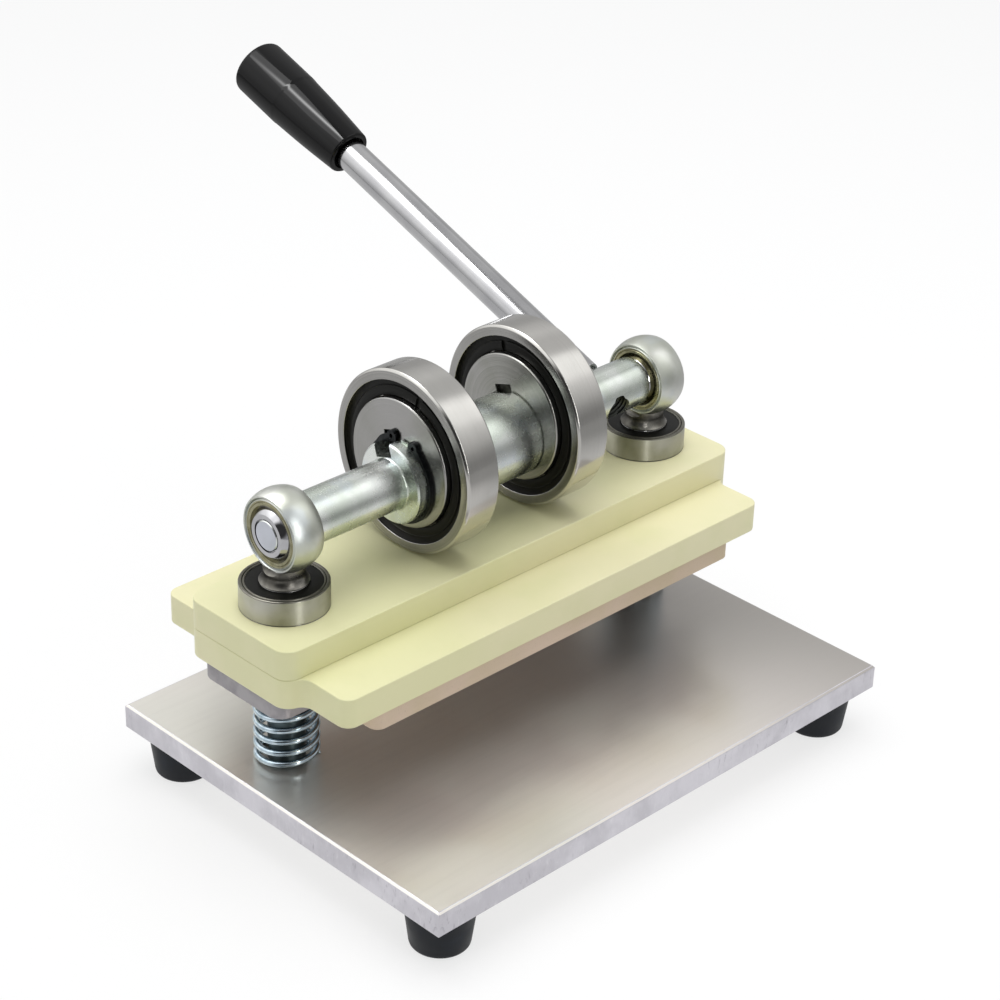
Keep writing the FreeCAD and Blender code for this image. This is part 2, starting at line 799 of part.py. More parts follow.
def shaft():
    """Stepped shaft with keyways, ring grooves and the tapped cross hole."""
    relief = ring_inner_face - shoulder_relief_width
    relief_radius = middle_radius - shoulder_relief_depth
    fillet_end = seat_half_length + arm_fillet_radius
    right = [(relief, middle_radius), (relief, relief_radius),
             (ring_inner_face, relief_radius), (ring_inner_face, seat_radius),
             (seat_half_length - seat_end_chamfer, seat_radius),
             (seat_half_length, seat_radius - seat_end_chamfer),
             (seat_half_length, arm_radius + arm_fillet_radius),
             (fillet_end, arm_radius), (arm_end - arm_end_round, arm_radius),
             (arm_end, arm_radius - arm_end_round), (arm_end, pin_radius),
             (pin_end - pin_end_chamfer, pin_radius),
             (pin_end, pin_radius - pin_end_chamfer), (pin_end, 0)]
    fillet_bend = arm_fillet_radius * (1 - math.sqrt(0.5))
    round_bend = arm_end_round * (1 - math.sqrt(0.5))
    bends = {6: (seat_half_length + fillet_bend, arm_radius + fillet_bend),
             8: (arm_end - round_bend, arm_radius - round_bend)}
    count = len(right)
    arcs = {}
    for i, (x, radius) in bends.items():
        arcs[count + i] = (x, radius)
        arcs[count - 2 - i] = (-x, radius)
    left = [(-x, radius) for x, radius in reversed(right)]
    body = turned_level(left + right, shaft_y, shaft_z, arcs)
    cuts = []
    for side in SIDES.values():
        cuts.append(ring_groove(side))
        cuts.append(lean_back(keyway_cut(side), eccentric_rest_angle))
    cuts.append(lean_back(lever_hole(), lever_rest_angle))
    return body.cut(cuts)


def ring_groove(side):
    """Groove for a retaining ring just outside a bearing."""
    width = retaining_ring_thickness + retaining_ring_side_clearance
    start = min(side * ring_outer_face, side * (ring_outer_face + width))
    outer = level_rod(middle_radius, start, start + width, shaft_y, shaft_z)
    inner = level_rod(retaining_ring_inner_radius, start, start + width, shaft_y, shaft_z)
    return outer.cut(inner)


def keyway_cut(side):
    """Upright key slot, open at the seat's end, with a slanted run-out inboard."""
    floor = seat_radius - key_seat_depth
    shallow = middle_radius - keyway_runout_depth
    points = [(ring_inner_face, floor), (seat_half_length + over_cut, floor),
              (seat_half_length + over_cut, middle_radius + over_cut),
              (ring_inner_face - keyway_runout_length, middle_radius + over_cut),
              (ring_inner_face - keyway_runout_length, middle_radius),
              (ring_inner_face, shallow)]
    corners = [V(side * x, shaft_y - key_width / 2, shaft_z + r) for x, r in points]
    outline = Part.makePolygon(corners + corners[:1])
    return Part.Face(outline).extrude(V(0, key_width, 0))


def lever_hole():
    """Tapped cross hole, upright; its open lower end shows the thread."""
    bottom = shaft_z - arm_radius - over_cut
    top = shaft_z + arm_radius + over_cut
    hole = rod(lever_thread_radius, bottom, top, lever_position, shaft_y)
    thread_top = shaft_z - lever_thread_past_centre - lever_thread_pitch
    points = [(0, bottom)]
    count = int((thread_top - bottom) / lever_thread_pitch)
    for i in range(count):
        z = thread_top - (count - i) * lever_thread_pitch
        points.append((lever_thread_radius, z))
        points.append((lever_thread_radius + lever_thread_depth,
                       z + lever_thread_pitch / 2))
    points += [(lever_thread_radius, thread_top), (0, thread_top)]
    return hole.fuse(turned_upright(points, lever_position, shaft_y))


def shaft_key(side):
    """Square-ended key between the shaft and a bearing's inner ring."""
    floor = seat_radius - key_seat_depth
    key = Part.makeBox(key_length, key_width, key_height,
                       V(side * bearing_x - key_length / 2, shaft_y - key_width / 2,
                         shaft_z + floor))
    return lean_back(key, eccentric_rest_angle)


def retaining_ring(side):
    """Open ring with two plier ears, holding a bearing on its seat."""
    start = min(side * ring_outer_face,
                side * (ring_outer_face + retaining_ring_thickness))
    end = start + retaining_ring_thickness
    inner = retaining_ring_inner_radius
    outer = inner + retaining_ring_radial_width
    ring = level_rod(outer, start, end, shaft_y, shaft_z)
    ear_centre = inner + retaining_ring_ear_radius
    ears = []
    holes = [level_rod(inner, start, end, shaft_y, shaft_z), ring_gap(start, end)]
    for turn in (-1, 1):
        angle = math.radians(turn * retaining_ring_ear_half_angle)
        y = shaft_y + ear_centre * math.sin(angle)
        z = shaft_z + ear_centre * math.cos(angle)
        ears.append(level_rod(retaining_ring_ear_radius, start, end, y, z))
        holes.append(level_rod(retaining_ring_ear_hole_radius, start, end, y, z))
    return lean_back(ring.fuse(ears).cut(holes), retaining_ring_gap_angle)


def ring_gap(start, end):
    """Wedge that opens a retaining ring between its ears, upright."""
    reach = 2 * middle_radius
    half = math.radians(retaining_ring_gap_half_angle)
    corners = [V(start, shaft_y, shaft_z)]
    for turn in (-1, 1):
        corners.append(V(start, shaft_y + turn * reach * math.sin(half),
                         shaft_z + reach * math.cos(half)))
    outline = Part.makePolygon(corners + corners[:1])
    return Part.Face(outline).extrude(V(end - start, 0, 0))


def rod_end_neck(x):
    """Neck that rises from a flared collar and narrows into the head's flat sides."""
    waist = column_top + rod_end_neck_height
    rise = rod_end_collar_radius - rod_end_neck_radius
    bend = (rod_end_neck_radius + rise * 0.22, column_top + rod_end_neck_height * 0.4)
    points = [(0, column_top), (rod_end_collar_radius, column_top),
              (rod_end_neck_radius, waist), (rod_end_neck_radius, shaft_z), (0, shaft_z)]
    neck = turned_upright(points, x, shaft_y, {1: bend})
    reach = rod_end_width / 2 + rod_end_side_blend
    sides = []
    for face in (-1, 1):
        low = waist + rod_end_side_blend
        outline = [(x + face * rod_end_width / 2, low), (x + face * reach, waist),
                   (x + face * reach, shaft_z + over_cut),
                   (x + face * rod_end_width / 2, shaft_z + over_cut)]
        curve = (x + face * (reach - rod_end_side_blend * math.sqrt(0.5)),
                 low - rod_end_side_blend * math.sqrt(0.5))
        front = shaft_y - rod_end_radius
        wire = profile_wire(outline, {0: curve}, lambda p: V(p[0], front, p[1]))
        sides.append(Part.Face(wire).extrude(V(0, 2 * rod_end_radius, 0)))
    return neck.cut(sides)


def staking_grooves(x):
    """Ring grooves that stake the race into the head, one in each face."""
    grooves = []
    for face in (-1, 1):
        edge = x + face * rod_end_width / 2
        deep = edge - face * (rod_end_width / 2 - race_width / 2 + staking_groove_depth)
        groove = [(edge, race_outer_radius - staking_groove_width / 2),
                  (edge, race_outer_radius + staking_groove_width / 2),
                  (deep, race_outer_radius)]
        grooves.append(turned_level(groove, shaft_y, shaft_z))
    return grooves


def rod_end(side):
    """Rod end housing with its neck and the threaded shank in the column."""
    x = side * column_x
    half = rod_end_width / 2
    points = [(x - half, race_outer_radius), (x - half, rod_end_rim_radius),
              (x + half, rod_end_rim_radius), (x + half, race_outer_radius)]
    head = turned_level(points, shaft_y, shaft_z, {1: (x, rod_end_radius)})
    neck = rod_end_neck(x).cut(level_rod(race_outer_radius, x - 2 * half, x + 2 * half,
                                         shaft_y, shaft_z))
    shank = rod(rod_end_shank_radius, column_top - rod_end_shank_grip, column_top, x,
                shaft_y)
    return head.fuse([neck, shank]).cut(staking_grooves(x))


def race_insert(side):
    """Race pressed into the rod end, hollow to fit the ball."""
    x = side * column_x
    half = race_width / 2
    hollow = ball_radius + ball_race_clearance
    seat_half = half - race_mouth_depth
    seat = math.sqrt(hollow ** 2 - seat_half ** 2)
    points = [(x - half, race_mouth_radius), (x - half, race_outer_radius),
              (x + half, race_outer_radius), (x + half, race_mouth_radius),
              (x + seat_half, seat), (x - seat_half, seat)]
    race = turned_level(points, shaft_y, shaft_z, {4: (x, hollow)})
    return race.cut(staking_grooves(x))


def swivel_ball(side):
    """Ball of a rod end, flat at both sides and bored for the shaft's pin."""
    x = side * column_x
    half = ball_width / 2
    flat = math.sqrt(ball_radius ** 2 - half ** 2)
    c = ball_bore_chamfer
    points = [(x - half, pin_radius + c), (x - half, flat), (x + half, flat),
              (x + half, pin_radius + c), (x + half - c, pin_radius),
              (x - half + c, pin_radius)]
    return turned_level(points, shaft_y, shaft_z, {1: (x, ball_radius)})


def lever_rod():
    """Lever rod, threaded into the shaft and into the grip."""
    shoulder = arm_radius
    stud_start = grip_start + grip_recess_depth
    stud_end = stud_start + grip_stud_length
    start = -lever_thread_past_centre
    steps = [(0, start), (lever_thread_radius, start),
             (lever_thread_radius, shoulder), (lever_radius, shoulder),
             (lever_radius, stud_start), (grip_stud_radius, stud_start),
             (grip_stud_radius, stud_end), (0, stud_end)]
    points = [(radius, shaft_z + t) for radius, t in steps]
    return lean_back(turned_upright(points, lever_position, shaft_y), lever_rest_angle)


def hand_grip():
    """Moulded grip with a rounded lip, a slightly bulged taper and a straight end."""
    stud_start = grip_start + grip_recess_depth
    bore_end = stud_start + grip_stud_length + tapped_hole_spare
    lip = grip_lip_round
    end = grip_end_round
    mouth = lever_radius + grip_recess_clearance
    steps = [(mouth, grip_start), (grip_lip_radius - lip, grip_start),
             (grip_lip_radius, grip_start + lip), (grip_step_radius, grip_step),
             (grip_end_radius, grip_end - end), (grip_end_radius - end, grip_end),
             (0, grip_end), (0, bore_end), (grip_stud_radius, bore_end),
             (grip_stud_radius, stud_start), (mouth, stud_start)]
    lip_bend = lip * (1 - math.sqrt(0.5))
    end_bend = end * (1 - math.sqrt(0.5))
    taper_middle = ((grip_lip_radius + grip_step_radius) / 2 + grip_taper_bulge,
                    (grip_start + lip + grip_step) / 2)
    bends = {1: (grip_lip_radius - lip_bend, grip_start + lip_bend), 2: taper_middle,
             4: (grip_end_radius - end_bend, grip_end - end_bend)}
    points = [(radius, shaft_z + t) for radius, t in steps]
    arcs = {i: (radius, shaft_z + t) for i, (radius, t) in bends.items()}
    grip = turned_upright(points, lever_position, shaft_y, arcs)
    return lean_back(grip, lever_rest_angle)


def root_pieces():
    """Everything that stands still."""
    pieces = {"base_plate": base_plate()}
    for name, (x, y) in foot_places().items():
        pieces["rubber_foot_" + name] = rubber_foot(x, y)
    corners = foot_places().values()
    pieces["foot_screws"] = Part.makeCompound([foot_screw(x, y) for x, y in corners])
    pieces["foot_washers"] = Part.makeCompound([foot_washer(x, y) for x, y in corners])
    places = [side * column_x for side in SIDES.values()]
    pieces["column_screws"] = Part.makeCompound([column_screw(x) for x in places])
    pieces["column_washers"] = Part.makeCompound([column_washer(x) for x in places])
    spring = return_spring()
    for name, side in SIDES.items():
        pieces["guide_column_" + name] = guide_column(side * column_x)
        pieces["rod_end_" + name] = rod_end(side)
        pieces["race_insert_" + name] = race_insert(side)
        pieces["return_spring_" + name] = spring.translated(V(side * column_x,
                                                              column_offset, 0))
    return pieces


def platen_pieces():
    """Everything that slides on the columns."""
    pieces = {"upper_plate": upper_plate(), "lower_plate": lower_plate(),
              "press_board": press_board()}
    joining = []
    for x, y in joining_places():
        joining.append(joining_screw(x, y, joining_screw_radius,
                                     joining_screw_head_radius, True))
    pieces["joining_screws"] = Part.makeCompound(joining)
    held = []
    for x, y in board_screw_places():
        held.append(countersunk_screw(x, y, countersunk_screw_radius, True))
    pieces["board_screws"] = Part.makeCompound(held)
    small = []
    levels = {"lower": platen_top - guide_bearing_height, "upper": platen_top}
    for name, side in SIDES.items():
        pieces["spring_plate_" + name] = spring_plate(side)
        for x, y in spring_plate_screw_places(side):
            small.append(countersunk_screw(x, y, countersunk_screw_radius, True))
        for level, bottom in levels.items():
            tail = "_" + level + "_" + name
            x = side * column_x
            pieces["guide_outer_ring" + tail] = guide_outer_ring(x, bottom)
            pieces["guide_inner_ring" + tail] = guide_inner_ring(x, bottom)
            pieces["guide_balls" + tail] = guide_ball_set(x, bottom)
            pieces["guide_seals" + tail] = guide_seals(x, bottom)
    pieces["spring_plate_screws"] = Part.makeCompound(small)
    return pieces


def shaft_pieces():
    """Everything that turns with the lever, and the rollers round it."""
    pieces = {"eccentric_shaft": shaft(), "lever_rod": lever_rod(),
              "hand_grip": hand_grip()}
    for name, side in SIDES.items():
        pieces["shaft_key_" + name] = shaft_key(side)
        pieces["retaining_ring_" + name] = retaining_ring(side)
        pieces["eccentric_ring_" + name] = eccentric_ring(side)
        pieces["swivel_ball_" + name] = swivel_ball(side)
        pieces["roller_ring_" + name] = roller_ring(side)
        pieces["roller_seals_" + name] = roller_seals(side)
        pieces["rollers_" + name] = rollers(side)
        pieces["roller_cage_" + name] = roller_cage(side)
    return pieces


def write_parts():
    """Write one file per piece and print what each one is."""
    os.makedirs("parts", exist_ok=True)
    pieces = {**root_pieces(), **platen_pieces(), **shaft_pieces()}
    to_press_face = V(0, -column_offset, -open_height)
    for name, drawn in sorted(pieces.items()):
        shape = drawn.translated(to_press_face)
        shape.exportStep("parts/" + name + ".step")
        print(name, len(shape.Solids), "solids", round(shape.Volume / 1000, 2), "cm3",
              "valid" if shape.isValid() else "NOT VALID")
    shaft_axis = V(0, shaft_y, shaft_z) + to_press_face
    bearing = V(bearing_x, *bearing_centre()) + to_press_face
    print(len(pieces), "pieces, shaft axis", shaft_axis, "bearing centre", bearing)


write_parts()
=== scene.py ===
# %% [markdown]
# # A bench press for die cutting, dressed in Blender
#
# A hand lever turns a shaft with two eccentric roller bearings, which push a
# cream platen down on a metal base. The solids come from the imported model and
# stay where they are. This file gives each visible piece the edges, the small
# forms and the finish that the real one has, then sets up the studio.
#
# Lengths are written in millimetres and turned to metres when a mesh is made.
# The row frame's origin is the middle of the pressing board's lower face.

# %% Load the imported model
import bpy
import bmesh
import json
import math
import numpy as np
from mathutils import Matrix, Vector

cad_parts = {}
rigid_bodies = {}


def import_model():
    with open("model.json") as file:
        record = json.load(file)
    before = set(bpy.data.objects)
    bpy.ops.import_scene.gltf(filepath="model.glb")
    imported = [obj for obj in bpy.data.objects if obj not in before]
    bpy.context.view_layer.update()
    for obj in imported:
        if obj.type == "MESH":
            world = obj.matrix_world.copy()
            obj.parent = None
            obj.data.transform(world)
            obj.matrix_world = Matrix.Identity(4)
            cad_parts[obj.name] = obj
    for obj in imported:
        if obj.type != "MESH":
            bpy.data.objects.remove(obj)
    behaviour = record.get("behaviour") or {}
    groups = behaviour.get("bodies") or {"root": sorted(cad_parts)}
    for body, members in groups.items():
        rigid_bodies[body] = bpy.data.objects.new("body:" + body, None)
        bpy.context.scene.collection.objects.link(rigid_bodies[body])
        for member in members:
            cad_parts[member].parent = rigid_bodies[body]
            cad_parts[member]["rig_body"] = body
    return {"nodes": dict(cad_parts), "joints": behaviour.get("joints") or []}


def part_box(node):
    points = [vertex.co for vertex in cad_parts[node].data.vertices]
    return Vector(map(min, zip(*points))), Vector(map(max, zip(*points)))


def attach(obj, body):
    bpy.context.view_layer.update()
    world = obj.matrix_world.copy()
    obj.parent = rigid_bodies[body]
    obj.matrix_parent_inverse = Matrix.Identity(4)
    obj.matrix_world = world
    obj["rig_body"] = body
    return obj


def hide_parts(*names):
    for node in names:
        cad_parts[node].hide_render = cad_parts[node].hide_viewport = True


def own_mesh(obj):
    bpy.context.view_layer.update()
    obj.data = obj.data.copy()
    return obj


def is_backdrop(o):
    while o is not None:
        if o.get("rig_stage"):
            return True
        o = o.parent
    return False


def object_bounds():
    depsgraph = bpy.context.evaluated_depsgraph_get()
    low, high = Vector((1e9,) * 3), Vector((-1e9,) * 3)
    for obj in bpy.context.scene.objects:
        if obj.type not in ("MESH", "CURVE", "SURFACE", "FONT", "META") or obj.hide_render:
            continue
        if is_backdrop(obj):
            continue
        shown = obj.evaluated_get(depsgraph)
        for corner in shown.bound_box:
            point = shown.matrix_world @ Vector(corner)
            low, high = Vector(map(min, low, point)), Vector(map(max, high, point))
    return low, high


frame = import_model()
scene = bpy.context.scene
MM = 0.001
cad_low, cad_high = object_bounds()
print("solids loaded:", len(frame["nodes"]), "box", tuple(cad_low), tuple(cad_high))

# %% [markdown]
# ## The places that everything else is measured from
#
# The shaft runs along X. The roller bearings sit on it off centre, so they have
# their own axis a little behind and above it. Both are read from the joints, so
# that a turned piece made here can't stand beside the axis it turns about.

# %% Axes and key heights
joints = {joint["name"]: joint for joint in frame["joints"]}
shaft_y, shaft_z = [1000 * v for v in joints["lever_turn"]["pos_m"][1:]]
bearing_y, bearing_z = [1000 * v for v in joints["right_ring_turn"]["pos_m"][1:]]
bearing_x = 1000 * joints["right_ring_turn"]["pos_m"][0]
lever_lean = math.radians(69.45)


def middle_x(node):
    """Middle of a solid's box along the shaft, in millimetres."""
    low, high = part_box(node)
    return 500 * (low.x + high.x)


column_x = middle_x("guide_column_right")
lever_x = middle_x("lever_rod")
base_top = 1000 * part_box("base_plate")[1].z
SIDES = {"left": -1, "right": 1}
print("shaft axis", shaft_y, shaft_z, "roller bearing axis", bearing_y, bearing_z)
print("columns at", column_x, "lever at", lever_x)

# %% [markdown]
# ## Turned pieces
#
# Rings, balls, feet, the lever and its grip were all turned on a lathe or
# moulded in a turned mould. Each is a profile carried round an axis. A lathe
# leaves no perfectly sharp corner, so every corner of a profile gets a small
# curve first. That thin curve is what catches the light on a real edge.

# %% Round the corners of a profile
def eased(points, radii, steps=4):
    """Replace each corner P by the curve (1-s)^2 A + 2s(1-s) P + s^2 B, where A and B
    lie on the corner's two sides at the corner's radius, or nearly half the side."""
    p = np.array(points, float)
    r = np.broadcast_to(np.array(radii, float), len(p))
    before = np.roll(p, 1, axis=0) - p
    after = np.roll(p, -1, axis=0) - p
    length_before = np.linalg.norm(before, axis=1)
    length_after = np.linalg.norm(after, axis=1)
    reach = np.minimum(r, 0.46 * np.minimum(length_before, length_after))[:, None]
    a = p + before / length_before[:, None] * reach
    b = p + after / length_after[:, None] * reach
    s = np.linspace(0, 1, steps + 1)[None, :, None]
    curve = (1 - s) ** 2 * a[:, None] + 2 * s * (1 - s) * p[:, None] + s ** 2 * b[:, None]
    return curve.reshape(-1, 2)


def both_faces(half):
    """Profile of a ring from the half above its middle plane, given as (r, t) points: the
    half as it is, then its mirror image in t = 0, run back the other way."""
    return np.concatenate([half, half[::-1] * [1, -1]])


# %% Turn a profile about an axis
upright, lengthwise = (0, 0, 1), (1, 0, 0)


def lathe_frame(axis):
    """Three unit vectors: the axis and two across it, as rows."""
    w = np.array(axis, float)
    w /= np.linalg.norm(w)
    u = np.cross(w, [1.0, 0, 0] if abs(w[0]) < 0.9 else [0, 1.0, 0])
    u /= np.linalg.norm(u)
    return w, u, np.cross(w, u)


def turned(profile, centre, axis, around):
    """Points c + t w + r (u cos a + v sin a) for every (r, t) of a closed profile and
    every angle a, joined in quads. The angles are given, or so many even steps."""
    p = np.array(profile, float)
    w, u, v = lathe_frame(axis)
    if np.ndim(around) == 1:
        a, around = around, len(around)
    else:
        a = np.linspace(0, 2 * math.pi, around, endpoint=False)
    ring = np.cos(a)[:, None] * u + np.sin(a)[:, None] * v
    points = np.array(centre) + p[:, 1, None, None] * w + p[:, 0, None, None] * ring
    rows, cols = np.meshgrid(np.arange(len(p)), np.arange(around), indexing="ij")
    here = rows * around + cols
    right = rows * around + (cols + 1) % around
    below = (rows + 1) % len(p) * around
    quads = np.stack([here, right, below + (cols + 1) % around, below + cols], -1)
    return points.reshape(-1, 3), quads.reshape(-1, 4)


def facing_out(points, faces):
    """Faces with their order turned round where the closed surface's volume, the sum
    of p0 . (p1 x p2) over its triangles, comes out negative."""
    p0, p1, p2 = points[faces[:, 0]], points[faces[:, 1]], points[faces[:, 2]]
    volume = np.sum(p0 * np.cross(p1, p2))
    p3 = points[faces[:, 3]]
    volume += np.sum(p0 * np.cross(p2, p3))
    return faces if volume > 0 else faces[:, ::-1]


# %% Quads of a grid
def grid_quads(rows, columns):
    """Quads between neighbouring points of a grid that is stored row after row."""
    i, j = np.meshgrid(np.arange(rows - 1), np.arange(columns - 1), indexing="ij")
    here = i * columns + j
    quads = np.stack([here, here + 1, here + columns + 1, here + columns], -1)
    return quads.reshape(-1, 4)


# %% Put arrays into a mesh object
weld_distance = 2e-6


def piece_from(name, surfaces, body, finish, slot, *nodes, sharp=40):
    """One object from one or more (points in millimetres, quads) surfaces. Points that
    meet, such as those on a pole, are merged, and thin leftovers are dropped."""
    counts = np.cumsum([0] + [len(points) for points, faces in surfaces])
    points = np.concatenate([points for points, faces in surfaces]) * MM
    faces = np.concatenate([facing_out(p, f) + n for (p, f), n in zip(surfaces, counts)])
    mesh = bpy.data.meshes.new(name)
    mesh.vertices.add(len(points))
    mesh.vertices.foreach_set("co", points.ravel())
    mesh.loops.add(faces.size)
    mesh.loops.foreach_set("vertex_index", faces.ravel().astype(np.int32))
    mesh.polygons.add(len(faces))
    mesh.polygons.foreach_set("loop_start", np.arange(0, faces.size, 4, dtype=np.int32))
    mesh.update()
    shape = bmesh.new()
    shape.from_mesh(mesh)
    bmesh.ops.remove_doubles(shape, verts=shape.verts, dist=weld_distance)
    shape.to_mesh(mesh)
    shape.free()
    mesh.validate()
    piece = bpy.data.objects.new(name, mesh)
    scene.collection.objects.link(piece)
    return dress(piece, body, finish, slot, *nodes, sharp=sharp)


def dress(piece, body, finish, slot, *nodes, sharp=40):
    """Smooth shading with sharp edges past an angle, a material, and the frame's facts."""
    mesh = piece.data
    mesh.shade_smooth()
    mesh.set_sharp_from_angle(angle=math.radians(sharp))
    mesh.materials.clear()
    mesh.materials.append(finish)
    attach(piece, body)
    if nodes:
        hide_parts(*nodes)
    print(piece.name, len(mesh.polygons), "faces, rides on", body)
    return piece


# %% [markdown]
# ## Sawn and milled pieces
#
# Plates, the shaft with its slots and the bored rings already have the right
# shape in the solids, but their meshes are loose triangles with knife edges. A
# merged copy stands in for each. Its flat faces are joined again, so that a
# bevel can round the real edges and leave the flats alone.

# %% Merged copy of a solid with eased edges
solid_weld_distance = 4e-6
flat_turn = math.radians(0.4)


def softened(node, edge, finish, sharp=30):
    """Copy of a CAD node's mesh: points merged, flat triangles dissolved, and a live
    bevel of that many millimetres on edges that turn more than the angle."""
    source = frame["nodes"][node]
    shape = bmesh.new()
    shape.from_mesh(source.data)
    bmesh.ops.remove_doubles(shape, verts=shape.verts, dist=solid_weld_distance)
    bmesh.ops.dissolve_limit(shape, angle_limit=flat_turn, verts=shape.verts,
                             edges=shape.edges)
    shape.verts.index_update()
    points = [v.co[:] for v in shape.verts]
    faces = [[v.index for v in face.verts] for face in shape.faces]
    shape.free()
    mesh = bpy.data.meshes.new("dressed_" + node)
    mesh.from_pydata(points, [], faces)
    mesh.update()
    piece = bpy.data.objects.new("dressed_" + node, mesh)
    scene.collection.objects.link(piece)
    bevel = piece.modifiers.new("eased edges", "BEVEL")
    bevel.width = edge * MM
    bevel.segments = 2
    bevel.limit_method = "ANGLE"
    bevel.angle_limit = math.radians(sharp)
    bevel.harden_normals = True
    slot = source.data.materials[0].name
    return dress(piece, source["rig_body"], finish, slot, node, sharp=180)


# %% [markdown]
# ## Building finishes
#
# A finish is a Principled shader with a few patterns in front of it. The small
# class below keeps the node calls short: each call adds one node and gives back
# its output, so a finish reads from top to bottom like a recipe. All patterns
# read Object coordinates, which are metres here, so a noise of scale 1000 has
# grains about a millimetre wide.

# %% A short way to write node materials
def shade(code):
    """Linear colour of a six digit sRGB code: ((c + 0.055) / 1.055) ^ 2.4, or c / 12.92
    for very dark values."""
    c = np.array([int(code[i:i + 2], 16) for i in (0, 2, 4)]) / 255
    linear = np.where(c > 0.04045, ((c + 0.055) / 1.055) ** 2.4, c / 12.92)
    return (*linear.tolist(), 1.0)


def node_in(tree, kind, values=(), **settings):
    """One node in a tree, with its settings, and its inputs by name or number. An input
    is given as a plain value, or as the socket that feeds it."""
    node = tree.nodes.new(kind)
    for key, value in settings.items():
        setattr(node, key, value)
    for key, value in dict(values).items():
        socket = node.inputs[key]
        if isinstance(value, bpy.types.NodeSocket):
            tree.links.new(value, socket)
        else:
            socket.default_value = value
    return node


class Finish:
    """A material being built. Sockets or plain values can be given to every call."""

    def __init__(self, name, colour, metallic, roughness, **plain):
        """Sets the shader's own values. Others go by the socket's name, with _ for a
        space, as in Coat_Weight."""
        self.material = bpy.data.materials.new(name)
        self.material.use_nodes = True
        self.tree = self.material.node_tree
        self.shader = self.tree.nodes["Principled BSDF"]
        self.material.diffuse_color = colour
        self.shader.inputs["Base Color"].default_value = colour
        self.shader.inputs["Metallic"].default_value = metallic
        self.shader.inputs["Roughness"].default_value = roughness
        for key, value in plain.items():
            self.shader.inputs[key.replace("_", " ")].default_value = value
        self.place = self.add("ShaderNodeTexCoord").outputs["Object"]

    def add(self, kind, values=(), **settings):
        """One node of this finish."""
        return node_in(self.tree, kind, values, **settings)

    def math(self, operation, a, b=0.0):
        """One operation on one or two numbers or sockets."""
        return self.add("ShaderNodeMath", {0: a, 1: b}, operation=operation).outputs[0]

    def mapped(self, vector=None, move=(0, 0, 0), turn=(0, 0, 0), scale=(1, 1, 1)):
        """Coordinates moved, turned (in degrees) and stretched."""
        turn = tuple(math.radians(t) for t in turn)
        node = self.add("ShaderNodeMapping", {"Vector": vector or self.place,
                                              "Location": move, "Rotation": turn,
                                              "Scale": scale})
        return node.outputs[0]

    def noise(self, scale, detail=3.0, vector=None, rough=0.5, warp=0.0):
        """Cloudy pattern from 0 to 1."""
        node = self.add("ShaderNodeTexNoise", {"Vector": vector or self.place,
                                               "Scale": scale, "Detail": detail,
                                               "Roughness": rough, "Distortion": warp})
        return node.outputs["Fac"]

    def span(self, value, low, high, to_low=0.0, to_high=1.0):
        """Value carried from one range to another, smoothly, and held at the ends."""
        node = self.add("ShaderNodeMapRange", {"Value": value, "From Min": low,
                                               "From Max": high, "To Min": to_low,
                                               "To Max": to_high},
                        interpolation_type="SMOOTHSTEP")
        return node.outputs[0]

    def mix(self, share, a, b):
        """Colour a, turning into colour b as the share goes from 0 to 1."""
        node = self.add("ShaderNodeMix", {0: share, 6: a, 7: b}, data_type="RGBA")
        return node.outputs[2]

    def parts(self):
        """The place's three numbers."""
        return list(self.add("ShaderNodeSeparateXYZ", {0: self.place}).outputs)

    def joined(self, x, y):
        """The vector (x, y, 0)."""
        return self.add("ShaderNodeCombineXYZ", {0: x, 1: y}).outputs[0]

    def colour(self, socket):
        """Colour of the surface."""
        self.tree.links.new(socket, self.shader.inputs["Base Color"])

    def gloss(self, socket):
        """Roughness, from 0 for a mirror to 1 for chalk."""
        self.tree.links.new(socket, self.shader.inputs["Roughness"])

    def relief(self, height, distance, strength=1.0):
        """Bump of a height pattern, its depth in millimetres."""
        node = self.add("ShaderNodeBump", {"Height": height, "Strength": strength,
                                           "Distance": distance * MM})
        self.tree.links.new(node.outputs[0], self.shader.inputs["Normal"])

    def lathe(self, y, z):
        """Coordinates of a piece turned about X: (place along the axis, distance from
        it, 0), so that a pattern of them runs round the piece as tool marks do."""
        px, py, pz = self.parts()
        across = self.math("SUBTRACT", py, y * MM)
        up = self.math("SUBTRACT", pz, z * MM)
        both = self.math("ADD", self.math("MULTIPLY", across, across),
                         self.math("MULTIPLY", up, up))
        return self.joined(px, self.math("SQRT", both))


# %% [markdown]
# ## Paint
#
# The platen is painted cream, half glossy. Sprayed paint is never quite flat:
# it has a very fine orange peel, and its colour drifts a little between a warmer
# and a greener cream over a few centimetres.

# %% Cream paint
def cream_paint():
    """Cream in two tints by a slow noise, greener in small patches, with a fine peel."""
    f = Finish("cream_paint", shade("E4E1B4"), 0.0, 0.38, Specular_IOR_Level=0.4)
    drift = f.noise(9, 2)
    warm = f.mix(f.span(drift, 0.35, 0.65), shade("E2E0B2"), shade("E6E1B9"))
    small = f.noise(42, 3, vector=f.mapped(move=(0.2, 0.1, 0.4)))
    f.colour(f.mix(f.span(small, 0.42, 0.72, 0, 0.35), warm, shade("DADAA8")))
    f.gloss(f.span(f.noise(60, 3), 0.3, 0.7, 0.34, 0.44))
    peel = f.noise(900, 2)
    f.relief(peel, 0.012, 0.5)
    return f.material


